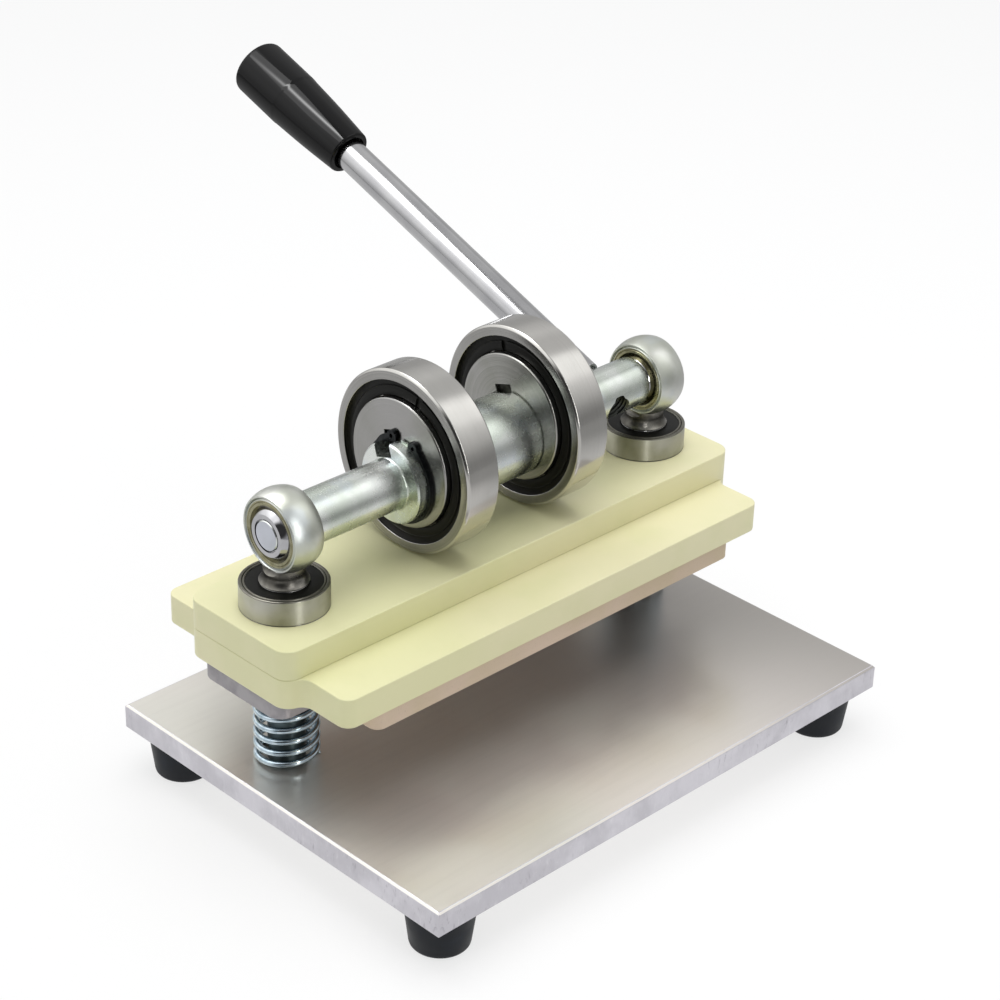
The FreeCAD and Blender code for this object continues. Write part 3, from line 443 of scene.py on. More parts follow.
# %% [markdown]
# ## Metals
#
# The base is a satin aluminium plate: milled on top, sawn at the sides. Bearing
# rings are ground steel with marks that run round them. The shaft and the rod
# ends are zinc plated, which gives soft clouds of grey, green and blue. Colour
# lives in the base colour, and the light does the rest.
#
# The guide bearings' rings have grinding marks too fine to model one by one. They
# draw each reflection out along the ring's axis, so the shader's Anisotropic
# value does their work: it shows a bright band from edge to edge of the ring.

# %% Milled top of the base
def milled_aluminium():
    """Warm grey, darkened to the back right by painted shade, with mill lines, scratches and
    pits.
    """
    f = Finish("milled_aluminium", shade("D9D4CD"), 0.72, 0.32)
    cloud = f.noise(9, 3)
    colour = f.mix(f.span(cloud, 0.35, 0.65), shade("E6E0DB"), shade("E0DED6"))
    along, across = f.parts()[:2]
    back = f.math("ADD", along, f.math("MULTIPLY", across, 0.6))
    # Painted shade: the top turns darker to the back right, where the platen's shadow and a
    # dark reflection fall.
    colour = f.mix(f.span(back, -0.09, 0.12), colour, shade("A5A19D"))
    grain = f.noise(1.0, 3, vector=f.mapped(scale=(22, 330, 22)))
    colour = f.mix(f.span(grain, 0.4, 0.75, 0, 0.07), colour, shade("B5B1AB"))
    f.colour(colour)
    f.gloss(f.span(f.noise(35, 4), 0.3, 0.7, 0.29, 0.36))
    line = f.noise(1.0, 1, vector=f.mapped(turn=(0, 0, 52), scale=(24, 1500, 24)))
    where = f.noise(14, 1, vector=f.mapped(move=(0.31, 0.12, 0)))
    scratch = f.math("MULTIPLY", f.span(line, 0.74, 0.80), f.span(where, 0.56, 0.64))
    pit = f.span(f.noise(210, 1, vector=f.mapped(move=(0.13, 0.02, 0))), 0.76, 0.80)
    height = f.math("SUBTRACT", 1.0, f.math("MAXIMUM", scratch, pit))
    f.relief(height, 0.03, 0.5)
    return f.material


# %% Sawn sides of the base
def sawn_aluminium():
    """Pale metal with slanting chatter marks where a second noise lets them show."""
    f = Finish("sawn_aluminium", shade("CBC7CC"), 1.0, 0.42)
    px, py, pz = f.parts()
    along = f.math("ADD", px, py)
    flat = f.joined(along, pz)
    slant = f.mapped(flat, turn=(0, 0, 38), scale=(420, 150, 1))
    streak = f.noise(1.0, 5, vector=slant, rough=0.65, warp=0.8)
    cloud = f.noise(34, 4, rough=0.6)
    colour = f.mix(f.span(cloud, 0.38, 0.62), shade("D6D4DA"), shade("C6C4CA"))
    where = f.span(f.noise(48, 2, vector=f.mapped(move=(0.3, 0, 0.1))), 0.46, 0.62)
    chatter = f.math("MULTIPLY", f.span(streak, 0.56, 0.72), where)
    colour = f.mix(f.math("MULTIPLY", chatter, 0.6), colour, shade("96939B"))
    colour = f.mix(f.span(streak, 0.25, 0.42, 0.4, 0), colour, shade("E8E7EA"))
    f.colour(colour)
    f.gloss(f.span(streak, 0.3, 0.7, 0.36, 0.48))
    f.relief(f.math("SUBTRACT", 1.0, chatter), 0.05, 0.6)
    return f.material


# %% Ground bearing steel
def ground_steel(name, tint, dark, rough=0.24):
    """Cloudy steel with fine marks round the roller bearings' axis."""
    f = Finish(name, shade(tint), 1.0, rough)
    lathe = f.lathe(bearing_y, bearing_z)
    marks = f.noise(1.0, 4, vector=f.mapped(lathe, scale=(5200, 5200, 1)), rough=0.65)
    cloud = f.noise(26, 3)
    colour = f.mix(f.span(cloud, 0.35, 0.7), shade(tint), shade(dark))
    colour = f.mix(f.span(marks, 0.35, 0.75, 0, 0.3), colour, shade("CFCDCB"))
    f.colour(colour)
    f.gloss(f.span(cloud, 0.3, 0.7, rough - 0.03, rough + 0.04))
    f.relief(marks, 0.004, 0.5)
    return f.material


# %% Zinc plate on the shaft and rod ends
def zinc_plate(name, light, green, blue, dark, rough):
    """Clouds of a light, a green and a blue grey, with dark specks on the finest scale."""
    f = Finish(name, shade(light), 1.0, rough)
    cloud = f.noise(38, 4, warp=0.4)
    second = f.noise(55, 3, vector=f.mapped(move=(0.4, 0.2, 0.9)))
    colour = f.mix(f.span(cloud, 0.36, 0.6), shade(light), shade(green))
    colour = f.mix(f.span(second, 0.48, 0.7, 0, 0.7), colour, shade(blue))
    fine = f.noise(240, 3)
    colour = f.mix(f.span(fine, 0.6, 0.8, 0, 0.1), colour, shade(dark))
    f.colour(colour)
    f.gloss(f.span(fine, 0.3, 0.75, rough - 0.015, rough + 0.02))
    f.relief(fine, 0.001, 0.4)
    return f.material


# %% Plain bright, dark and coloured metals
def worked_metal(name, light, dark, rough, scale=120.0, marks=0.01, **plain):
    """Two tints in clouds, with small marks of a depth in millimetres."""
    f = Finish(name, shade(light), 1.0, rough, **plain)
    cloud = f.noise(scale, 4)
    f.colour(f.mix(f.span(cloud, 0.35, 0.7), shade(light), shade(dark)))
    f.gloss(f.span(cloud, 0.3, 0.7, rough * 0.85, rough * 1.2))
    f.relief(f.noise(scale * 8, 3), marks, 0.5)
    return f.material


# %% [markdown]
# ## Rubber, moulding and board
#
# Rubber and mouldings aren't metal: their colour is the dark body colour, and
# only the roughness tells them apart. The grip is glossy, the feet are dull and
# dusty, the seals lie between. The pressing board is a matt fibre board.

# %% Dull and glossy mouldings
def moulding(name, body, dust, rough, dusty, grain, depth, shine=0.25, **coat):
    """Dark body colour with dust in patches and a fine grain."""
    f = Finish(name, shade(body), 0.0, rough, Specular_IOR_Level=shine, **coat)
    patches = f.noise(90, 4)
    f.colour(f.mix(f.span(patches, 0.45, 0.8, 0, dusty), shade(body), shade(dust)))
    f.gloss(f.span(patches, 0.3, 0.7, rough * 0.85, rough * 1.15))
    f.relief(f.noise(grain, 3), depth, 0.5)
    return f.material


# %% Fibre board
def fibre_board():
    """Beige in two tints, with the ends of its fibres as darker specks."""
    f = Finish("press_board_composite", shade("D0BCA6"), 0.0, 0.62)
    cloud = f.noise(24, 3)
    colour = f.mix(f.span(cloud, 0.35, 0.65), shade("D3BEA9"), shade("CBB99C"))
    specks = f.noise(1500, 2)
    colour = f.mix(f.span(specks, 0.6, 0.8, 0, 0.5), colour, shade("A8957F"))
    f.colour(colour)
    f.relief(specks, 0.02, 0.6)
    return f.material


# %% Make the finishes once
paint = cream_paint()
base_top_metal = milled_aluminium()
base_side_metal = sawn_aluminium()
roller_steel = ground_steel("ground_roller_ring", "B2B0AC", "A6A5A1", 0.15)
# The tyre's flat faces take a darker copy of the same ground steel: painted shade.
tyre_face_painted_shade = ground_steel("tyre_face_painted_shade_steel", "8F8E8C", "83827F")
inner_steel = ground_steel("ground_inner_ring", "8F8E8D", "7B7C75")
guide_steel = worked_metal("guide_ring_steel", "B4B3AB", "A3A28F", 0.42, 60, 0.002,
                           Anisotropic=0.9, Anisotropic_Rotation=0.25)
# Darker copy of the guide ring's steel for its faces and chamfers: a painted dark
# reflection.
ring_face_painted_reflection = worked_metal("guide_face_painted_reflection", "74726A", "5B5950", 0.34, 90, 0.004)
# Dark teal for the columns: painted shade for the inside of the springs.
column_shade_steel = worked_metal("column_painted_shade", "556164", "394346", 0.36, 90, 0.003)
zinc = zinc_plate("zinc_shaft", "D6D9D6", "BFC6BD", "C3CBD2", "9CA19B", 0.27)
zinc_ends = zinc_plate("zinc_rod_end", "CDCECA", "BABDB3", "C0C6C9", "9CA09A", 0.37)
race_metal = worked_metal("race_olive_zinc", "949178", "79765B", 0.27, 160)
# Dark olive for the race's mouth and the ball's inward side: painted shade.
mouth_painted_shade = worked_metal("race_mouth", "57543E", "3F3D2D", 0.26, 160)
spring_zinc = worked_metal("spring_blue_zinc", "BFCDD6", "9FB0BB", 0.16, 300, 0.003)
plate_metal = worked_metal("grey_milled_plate", "9E9B9D", "8E8B8E", 0.4, 110, 0.01)
mirror_metal = worked_metal("polished_ball", "B4B4B6", "A4A4A8", 0.07, 80, 0.001)
lever_metal = worked_metal("polished_lever", "ACACAD", "A2A2A4", 0.13, 60, 0.001)
greased_metal = worked_metal("greased_black", "2B2D2E", "17191B", 0.32, 260, 0.02)
# Near black for the keys: painted shade for their deep slots.
key_slot_shade = worked_metal("key_painted_shade", "30302B", "1A1A17", 0.36, 420, 0.03)
pin_metal = worked_metal("blue_zinc_end", "C0C3CC", "B4B8BF", 0.3, 60, 0.002)
# Darker metal under the rod ends' heads: partly grease, partly painted shade.
neck_grease_and_shade = worked_metal("neck_grease_and_painted_shade", "7A7872", "4B4944", 0.3, 130, 0.006)
# Dark for the cross hole's wall: painted shade for the deep tapped hole.
hole_painted_shade = worked_metal("thread_painted_shade", "4A4C48", "1E201D", 0.3, 300, 0.01)
screw_metal = worked_metal("plated_screw", "B3B5B6", "9A9C9E", 0.3, 260, 0.006)
brass_metal = worked_metal("brass_cage", "B99A55", "96793C", 0.34, 200, 0.01)
grip_plastic = moulding("grip_moulding", "0C0C0D", "101011", 0.4, 0.2, 300, 0.004, 0.0,
                        Coat_Weight=0.4, Coat_Roughness=0.06)
foot_rubber = moulding("foot_rubber", "12161D", "262C36", 0.5, 0.5, 900, 0.03)
seal_rubber = moulding("seal_rubber", "0F0F0C", "1A1A17", 0.42, 0.4, 700, 0.015, 0.13)
board_finish = fibre_board()
# Darker brown for the board's lower face: painted shade.
board_underside_shade = moulding("board_underside_painted_shade", "8C7461", "7A6554", 0.6, 0.5, 1500, 0.02)
print("materials, with the solids' own:", len(bpy.data.materials))

# %% [markdown]
# ## Base plate
#
# One thick plate. Its top is milled and its four sides are sawn, so the copy
# gets two finishes, chosen by which way each face points. The bevel along its
# edges takes the second one, so that it shows as a bright line beside the top.

# %% A second finish on some faces
def paint_faces(piece, finish, chosen):
    """One more finish on the faces that a rule picks from the arrays of their normals
    and of their middles, in millimetres."""
    count = len(piece.data.polygons)
    normals = np.zeros(count * 3, np.float32)
    piece.data.polygons.foreach_get("normal", normals)
    middles = np.zeros(count * 3, np.float32)
    piece.data.polygons.foreach_get("center", middles)
    picked = chosen(normals.reshape(-1, 3), middles.reshape(-1, 3) / MM)
    index = np.zeros(count, np.int32)
    piece.data.polygons.foreach_get("material_index", index)
    index[picked] = len(piece.data.materials)
    piece.data.materials.append(finish)
    piece.data.polygons.foreach_set("material_index", index)
    print(piece.name, int(picked.sum()), "of", count, "faces in", finish.name)


# %% Base plate
base = softened("base_plate", 0.8, base_top_metal)
paint_faces(base, base_side_metal, lambda n, p: np.abs(n[:, 2]) < 0.3)
base.modifiers["eased edges"].material = 1

# %% [markdown]
# ## Rubber feet
#
# Each foot is a tapered moulding, held by a screw in a recess below. A turned
# profile with a soft lower edge gives it, and the recess shows from underneath.

# %% Rubber feet
hole_radius, recess_radius, recess_depth = 3.3, 7.5, 12
foot_top_radius, foot_sole_radius = 16.0, 13.3


def foot_profile(low, high):
    """Section from the screw's hole over the top, down the taper and up the recess."""
    inner = low + recess_depth
    return eased([(hole_radius, high), (foot_top_radius, high), (foot_sole_radius, low),
                  (recess_radius, low), (recess_radius, inner), (hole_radius, inner)],
                 [0.2, 0.6, 2.2, 0.8, 0.4, 0.2])


for place in ("front_left", "front_right", "back_left", "back_right"):
    node = "rubber_foot_" + place
    low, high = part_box(node)
    middle = (low + high) * 500
    surface = turned(foot_profile(1000 * low.z, 1000 * high.z), (middle.x, middle.y, 0),
                     upright, 96)
    piece_from("foot_" + place, [surface], "root", foot_rubber, "foot_rubber", node)

# %% [markdown]
# ## Platen
#
# Two painted plates with a seam between them, a fibre board that presses the
# die, and a grey metal plate under each end that takes the spring. The board's
# lower face is painted a darker brown than its edge, as painted shade: it faces
# down into the gap over the base.

# %% Plates of the platen
softened("upper_plate", 0.3, paint)
softened("lower_plate", 0.3, paint)
board = softened("press_board", 0.15, board_finish)
# Painted shade: the board's downward faces take the darker brown.
paint_faces(board, board_underside_shade, lambda n, p: n[:, 2] < -0.9)
for side in SIDES:
    softened("spring_plate_" + side, 0.2, plate_metal)

# %% [markdown]
# ## Guide bearings
#
# Two ball bearings at each column, one on the other. Only the upper ones show:
# a ring with a chamfer and a fine groove in its face, a black seal in a seat
# inside it, and the inner ring that slides on the column. The balls run in a round
# groove in both rings. The outer ring is bright at its side. Its faces and
# chamfers get a darker copy of its steel, a painted dark reflection.

# %% Sizes of a guide bearing
ball_pitch, groove_radius = 13.4, 3.5
ring_wall, sleeve_wall, sleeve_bore = 15.8, 11.0, 8.53
seal_hole, seal_seat = 11.2, 17.2
seal_depth, seal_thickness, seat_depth = 0.4, 1.2, 1.6
ring_face = np.array([(20.0, 0, 0.8), (18.5, 0, 0.2), (18.2, -0.6, 0.05), (17.9, 0, 0.2),
                      (seal_seat, 0, 0.1), (seal_seat, -seat_depth, 0.05),
                      (ring_wall, -seat_depth, 0.1)])
sleeve_face = np.array([(sleeve_bore, 0, 0.7), (sleeve_wall, 0, 0.3)])
print("ring of", 2 * ring_face[0, 0], "on a sleeve with a bore of", 2 * sleeve_bore)


# %% A bearing ring with its ball groove
def grooved_ring(face, low, high, out, steps):
    """Profile of a ring: rows (r, depth, easing) give its upper face, which is mirrored
    in the middle plane. Between the two, on the wall, lies the groove's arc: its radius
    is the pitch plus R cos a on the outer ring, where a runs down, and the pitch minus
    R cos a on the sleeve, where a runs up. Its height is R sin a."""
    middle = (low + high) / 2
    half = face[:, :2] + [0, high - middle]
    easing = np.concatenate([face[:, 2], face[::-1, 2]])
    profile = eased(both_faces(half), easing, steps)
    reach = math.acos(abs(face[-1, 0] - ball_pitch) / groove_radius)
    a = np.linspace(reach, -reach, 13) * out
    groove = np.stack([ball_pitch + out * groove_radius * np.cos(a),
                       groove_radius * np.sin(a)], -1)
    upper_points = len(face) * (steps + 1)
    profile = np.concatenate([profile[:upper_points], groove, profile[upper_points:]])
    return profile + [0, middle]


# %% Upper guide bearings
for side, sign in SIDES.items():
    low = 1000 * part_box("guide_outer_ring_upper_" + side)[0].z
    high = 1000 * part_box("guide_outer_ring_upper_" + side)[1].z
    centre = (sign * column_x, 0, 0)
    outside = turned(grooved_ring(ring_face, low, high, 1, 5), centre, upright, 160)
    guide_ring = piece_from("guide_ring_upper_" + side, [outside], "platen", guide_steel,
                            "bearing_steel", "guide_outer_ring_upper_" + side)
    # Painted dark reflection: the ring's faces and chamfers get the darker steel.
    paint_faces(guide_ring, ring_face_painted_reflection, lambda n, p: np.abs(n[:, 2]) > 0.25)
    inside = turned(grooved_ring(sleeve_face, low, high, -1, 4), centre, upright, 128)
    piece_from("guide_sleeve_upper_" + side, [inside], "platen", inner_steel,
               "bearing_steel", "guide_inner_ring_upper_" + side)
    seals = []
    for start in (low + seal_depth, high - seal_depth - seal_thickness):
        end = start + seal_thickness
        seal = eased([(seal_hole, start), (seal_hole, end), (seal_seat, end),
                      (seal_seat, start)], 0.2, 3)
        seals.append(turned(seal, centre, upright, 128))
    piece_from("guide_seal_upper_" + side, seals, "platen", seal_rubber, "seal_rubber",
               "guide_seals_upper_" + side)

# %% [markdown]
# ## Return springs
#
# A compression spring stands round each column. Its wire follows a helix, and
# both ends are ground flat so that the spring stands square. The wire's circle
# is carried along the helix, and the two ends are cut by clamping the height.

# %% Return springs
def spring_surface(centre, low, high, radius, wire, turns, along=900, around=20):
    """Points c + (R + w cos b) e(a) + (z(a) + w sin b) k, where the angle a runs along
    the wire, from a little before the first turn to a little after the last, and b round
    it, tilted by the helix, with z clamped between the seats."""
    lead = 0.11
    a = np.linspace(-lead, turns + lead, along)[:, None] * 2 * math.pi
    b = np.linspace(0, 2 * math.pi, around, endpoint=False)[None, :]
    rise = (high - low) / turns / (2 * math.pi)
    out = radius + wire * np.cos(b)
    tilt = math.atan2(rise, radius)
    up = wire * np.sin(b) * math.cos(tilt)
    aside = -wire * np.sin(b) * math.sin(tilt)
    x = out * np.cos(a) - aside * np.sin(a)
    y = out * np.sin(a) + aside * np.cos(a)
    z = np.clip(low + rise * a + up, low, high)
    rows = np.stack([x + centre[0], y + centre[1], np.broadcast_to(z, x.shape)], -1)
    return closed_tube(rows)


def closed_tube(rows):
    """Quads between neighbouring rings, and each end closed onto its ring's middle."""
    ends = rows[[0, -1]].mean(axis=1, keepdims=True)
    first = np.broadcast_to(ends[0], rows[0].shape)[None]
    last = np.broadcast_to(ends[1], rows[0].shape)[None]
    rows = np.concatenate([first, rows, last])
    count, around = rows.shape[:2]
    i, j = np.meshgrid(np.arange(count - 1), np.arange(around), indexing="ij")
    k = (j + 1) % around
    quads = np.stack([i * around + j, i * around + k, (i + 1) * around + k,
                      (i + 1) * around + j], -1)
    return rows.reshape(-1, 3), quads.reshape(-1, 4)


coil_radius, wire_radius, coils = 13.5, 1.5, 7.0
for side, sign in SIDES.items():
    surface = spring_surface((sign * column_x, 0), base_top, 0.0, coil_radius, wire_radius,
                             coils)
    spring = piece_from("spring_" + side, [surface], "root", spring_zinc,
                        "spring_zinc_blue", "return_spring_" + side, sharp=60)
    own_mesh(spring)

# %% [markdown]
# ## Shaft
#
# A stepped bar with key slots, grooves for the retaining rings and a tapped
# cross hole for the lever. The hole's wall is painted dark as painted shade for
# the deep hole, and the two end faces have a bluer plate than the rest, so each
# gets its own finish.

# %% Shaft
thread_reach = 6.6
pin_face = column_x + 9.5


def in_cross_hole(normals, middles):
    """True where a face lies no further from the lever's line than its thread does and
    faces that line."""
    line = np.array([0, math.sin(lever_lean), math.cos(lever_lean)])
    from_line = middles - [lever_x, shaft_y, shaft_z]
    from_line -= (from_line @ line)[:, None] * line
    reach = np.linalg.norm(from_line, axis=1)
    faces_it = np.sum(normals * from_line, axis=1) < 0.5 * reach
    return (reach < thread_reach) & faces_it


shaft = softened("eccentric_shaft", 0.25, zinc)
# Painted shade: the cross hole's wall is dark.
paint_faces(shaft, hole_painted_shade, in_cross_hole)
paint_faces(shaft, pin_metal, lambda n, p: np.abs(p[:, 0]) > pin_face)

# %% [markdown]
# Keys and retaining rings are small and close to the eye, so their edges are
# eased too. The rings are dark with grease. The keys are painted near black, as
# painted shade for their deep slots. The real rings are slimmer than the solids
# away from their two ears, so the copies' outer points are drawn in.

# %% Keys and retaining rings
ring_radius, ring_less = 21.5, 1.0
ears_end, slim_from = 34, 46


def slimmed(piece, outer_radius, less):
    """Draws a ring's outer points in towards the shaft's axis by that many millimetres
    times a share, which goes from 0 at the ears' end to 1 where the slim part starts,
    both in degrees from the top."""
    mesh = piece.data
    flat = np.zeros(len(mesh.vertices) * 3, np.float32)
    mesh.vertices.foreach_get("co", flat)
    points = flat.reshape(-1, 3) / MM
    across = points[:, 1] - shaft_y
    up = points[:, 2] - shaft_z
    reach = np.hypot(across, up)
    from_top = np.degrees(np.arctan2(np.abs(across), up))
    share = np.clip((from_top - ears_end) / (slim_from - ears_end), 0, 1)
    keep = 1 - np.where(reach > outer_radius - 1, less * share, 0) / reach
    points[:, 1] = shaft_y + across * keep
    points[:, 2] = shaft_z + up * keep
    mesh.vertices.foreach_set("co", (points * MM).ravel())
    mesh.update()
    print(piece.name, "reached", reach.max(), "and is slimmer by", less)


for side in SIDES:
    # The key's near black finish is painted shade for its slot.
    softened("shaft_key_" + side, 0.3, key_slot_shade)
    ring = softened("retaining_ring_" + side, 0.2, greased_metal)
    slimmed(ring, ring_radius, ring_less)

# %% [markdown]
# ## Roller bearings
#
# The outer ring is a wide ground tyre with a chamfer at both faces. Sunk in each
# face lies a black seal: a thin flat rim, and inside it a round raised band with
# one notch. The inner ring stands out a little past the tyre. It is bored off
# centre, so it comes from the solid, and the turned pieces from their profiles.
#
# The notch is made by pressing the band's points down to the rim's level over a
# small angle. Two pairs of angles close together give it steep walls.

# %% Sizes of a roller bearing
tyre_radius, tyre_half, tyre_chamfer = 43.25, 9.5, 1.1
seat_radius, raceway_radius, raceway_half = 38.2, 36.2, 6.4
seal_inside, rim_level, band_level, crown_level = 6.5, 7.3, 8.0, 8.35
band_from, band_to, band_ease = 30.7, 35.3, 0.2
notch_width, notch_wall = 2.6, 0.004
notch_lean = {"left": -16.0, "right": 13.0}
print("tyre of", 2 * tyre_radius, "by", 2 * tyre_half)


# %% Seal with a notch
def seal_surface(centre, face, lean):
    """Turned seal with a band that bulges by h (1 - ((r - m) / w)^2). Its points within
    the notch's half width of the lean angle, seen from the top towards the back, lie no
    higher than the rim."""
    middle, half_band = (band_from + band_to) / 2, (band_to - band_from) / 2 - band_ease
    r = np.linspace(middle - half_band, middle + half_band, 9)
    bulge = 1 - ((r - middle) / half_band) ** 2
    crown = band_level + (crown_level - band_level) * bulge
    edge = band_level - band_ease
    outline = [(band_from, seal_inside), (band_from, edge), *zip(r, crown), (band_to, edge),
               (band_to, rim_level), (seat_radius, rim_level), (seat_radius, seal_inside)]
    half = math.asin(notch_width / 2 / middle)
    edges = np.array([-half - notch_wall, -half, half, half + notch_wall])
    u, v = lathe_frame(lengthwise)[1:]
    up = math.atan2(v[2], u[2])
    quarter = up + math.pi / 2
    back = math.copysign(1.0, u[1] * math.cos(quarter) + v[1] * math.sin(quarter))
    notch = up + back * math.radians(lean)
    next_point = half + 0.03
    even = np.linspace(next_point, 2 * math.pi - next_point, 200)
    a = np.sort(np.concatenate([edges, even])) + notch
    points, quads = turned([(r, face * t) for r, t in outline], centre, lengthwise, a)
    grid = points.reshape(len(outline), len(a), 3)
    from_notch = np.angle(np.exp(1j * (a - notch)))
    low = np.abs(from_notch) <= half + 1e-6
    height = (grid[:, low, 0] - centre[0]) * face
    grid[:, low, 0] = centre[0] + face * np.minimum(height, rim_level)
    return grid.reshape(-1, 3), quads


# %% Outer rings, seals and inner rings
tyre_profile = eased(both_faces(np.array([
    (tyre_radius, tyre_half - tyre_chamfer), (tyre_radius - tyre_chamfer, tyre_half),
    (seat_radius, tyre_half), (seat_radius, raceway_half), (raceway_radius, raceway_half)])),
    [0.4, 0.4, 0.25, 0.1, 0.1, 0.1, 0.1, 0.25, 0.4, 0.4])
for side, sign in SIDES.items():
    centre = (sign * bearing_x, bearing_y, bearing_z)
    tyre = piece_from("roller_tyre_" + side, [turned(tyre_profile, centre, lengthwise, 240)],
                      side + "_roller", roller_steel, "bearing_steel",
                      "roller_ring_" + side)
    # Painted shade: the tyre's flat faces are darker than its ground rim.
    paint_faces(tyre, tyre_face_painted_shade, lambda n, p: np.abs(n[:, 0]) > 0.9)
    seals = [seal_surface(centre, face, notch_lean[side]) for face in (-1, 1)]
    piece_from("roller_seal_" + side, seals, side + "_roller", seal_rubber, "seal_rubber",
               "roller_seals_" + side, sharp=30)
    softened("eccentric_ring_" + side, 0.3, inner_steel)

# %% [markdown]
# ## Rod ends
#
# A forged head on a short neck holds a race, and in the race turns a polished
# ball, bored for the shaft's pin. The head comes from the solid. The race and
# the ball are turned. The race's rim is plated with the head. Its mouth and the
# side of the ball that looks at the press's middle are painted dark: painted
# shade, for the deep gap between them. The neck under the head is darker too,
# partly grease and partly painted shade.

# %% Profiles of the race and the ball
ball_radius, ball_half, ball_mouth = 13.6, 9.5, 10.7
hollow_radius, hollow_half = 13.7, 6.7
race_rim, race_mouth = 15.2, 12.9
neck_top = shaft_z - 16.4


def sphere_side(radius, half, steps):
    """Points (r, t) on a circle of that radius, between t = -half and half."""
    t = np.linspace(-half, half, steps)
    return np.stack([np.sqrt(radius ** 2 - t ** 2), t], -1)


def from_shaft(points):
    """Distance of each point from the shaft's axis."""
    return np.hypot(points[:, 1] - shaft_y, points[:, 2] - shaft_z)


race_face = np.array([(13.0, 7.7), (14.3, 7.7), (14.5, 7.45), (14.7, 7.7), (15.5, 7.7),
                      (16.1, 7.0)])
race_easing = [0.25, 0.05, 0.02, 0.05, 0.2, 0.1]
race_outside = eased(both_faces(race_face), race_easing + race_easing[::-1])
race_profile = np.concatenate([race_outside[::-1],
                               sphere_side(hollow_radius, hollow_half, 21)[::-1]])
ball_bore = both_faces(np.array([(7.7, ball_half), (7.6, 8.0), (7.0, 8.0)]))
ball_profile = np.concatenate([sphere_side(ball_radius, ball_half, 41), ball_bore])
print("race profile", len(race_profile), "points, ball profile", len(ball_profile))

# %% Rod ends with race and ball
for side, sign in SIDES.items():
    centre = (sign * column_x, shaft_y, shaft_z)
    head = softened("rod_end_" + side, 0.3, zinc_ends, 35)
    # Below the neck's top the head is darker: partly grease, partly painted shade.
    paint_faces(head, neck_grease_and_shade, lambda n, p: p[:, 2] < neck_top)
    race = piece_from("race_" + side, [turned(race_profile, centre, lengthwise, 128)],
                      "root", race_metal, "race_zinc_yellow", "race_insert_" + side)
    paint_faces(race, zinc_ends, lambda n, p: from_shaft(p) > race_rim)
    # Painted shade in the race's mouth.
    paint_faces(race, mouth_painted_shade, lambda n, p: from_shaft(p) < race_mouth)
    ball = piece_from("ball_" + side, [turned(ball_profile, centre, lengthwise, 160)],
                      "shaft", mirror_metal, "mirror_steel", "swivel_ball_" + side,
                      sharp=30)
    # Painted shade on the ball's side that looks at the press's middle.
    paint_faces(ball, mouth_painted_shade,
                lambda n, p: (from_shaft(p) > ball_mouth) & (np.abs(p[:, 0]) < column_x))

# %% [markdown]
# ## Lever and grip
#
# A polished rod, screwed into the shaft, with a moulded grip: a rounded lip, a
# long taper, a small step and a nearly straight end.

# %% Lever and grip
lever_centre = (lever_x, shaft_y, shaft_z)
lever_axis = (0, math.sin(lever_lean), math.cos(lever_lean))
thread_radius, rod_radius, tenon_radius = 6, 8, 5
rod_from, shoulder, rod_to, tenon_end = -4, 12, 194.4, 232.4
grip_from, tenon_hole_end, grip_to = 191.4, 235.4, 266.8
rod_profile = eased([(0, rod_from), (thread_radius, rod_from), (thread_radius, shoulder),
                     (rod_radius, shoulder), (rod_radius, rod_to), (tenon_radius, rod_to),
                     (tenon_radius, tenon_end), (0, tenon_end)],
                    [0, 0.5, 0.2, 0.5, 0.3, 0.2, 0.3, 0])
piece_from("lever", [turned(rod_profile, lever_centre, lever_axis, 128)], "shaft",
           lever_metal, "polished_steel", "lever_rod")
grip_profile = eased([(9.2, grip_from), (11.7, grip_from), (13.6, 214.6), (14.62, 234.8),
                      (14.85, 236.4), (14.9, grip_to), (0, grip_to), (0, tenon_hole_end),
                      (tenon_radius, tenon_hole_end), (tenon_radius, rod_to),
                      (9.2, rod_to)],
                     [0.3, 2.8, 9.0, 0.7, 0.7, 2.6, 0, 0, 0.1, 0.1, 0.3], 6)
piece_from("grip", [turned(grip_profile, lever_centre, lever_axis, 128)], "shaft",
           grip_plastic, "grip_plastic", "hand_grip")

# %% [markdown]
# ## Pieces that keep their solid's mesh
#
# Screws, washers, the columns and the bearings' inner pieces are hardly seen,
# and their shape is right as it is. They only get their finish.

# %% Finish the remaining solids
fasteners = ("foot_screws", "foot_washers", "column_screws", "column_washers",
             "joining_screws", "board_screws", "spring_plate_screws")
plain_finishes = {start: screw_metal for start in fasteners}
plain_finishes.update({
    # The columns' dark teal is painted shade for the inside of the springs.
    "guide_column_": column_shade_steel, "guide_outer_ring_lower_": guide_steel,
    "guide_inner_ring_lower_": inner_steel, "guide_balls_": mirror_metal,
    "guide_seals_lower_": seal_rubber, "rollers_": roller_steel,
    "roller_cage_": brass_metal})
for start, finish in plain_finishes.items():
    for name, node in frame["nodes"].items():
        if name.startswith(start):
            node.data.materials[0] = finish
still_plain = [n for n, o in frame["nodes"].items()
               if not o.hide_render and o.data.materials[0] not in plain_finishes.values()]
print("solids left with a plain finish:", still_plain)

# %% [markdown]
# ## Studio
#
# The photograph has a white ground and soft light from above. A wide lamp over
# the press makes the tops brighter than the sides, and a weak one lifts the front.
# The world lights the rest evenly. The camera and mirrored rays see it as white.

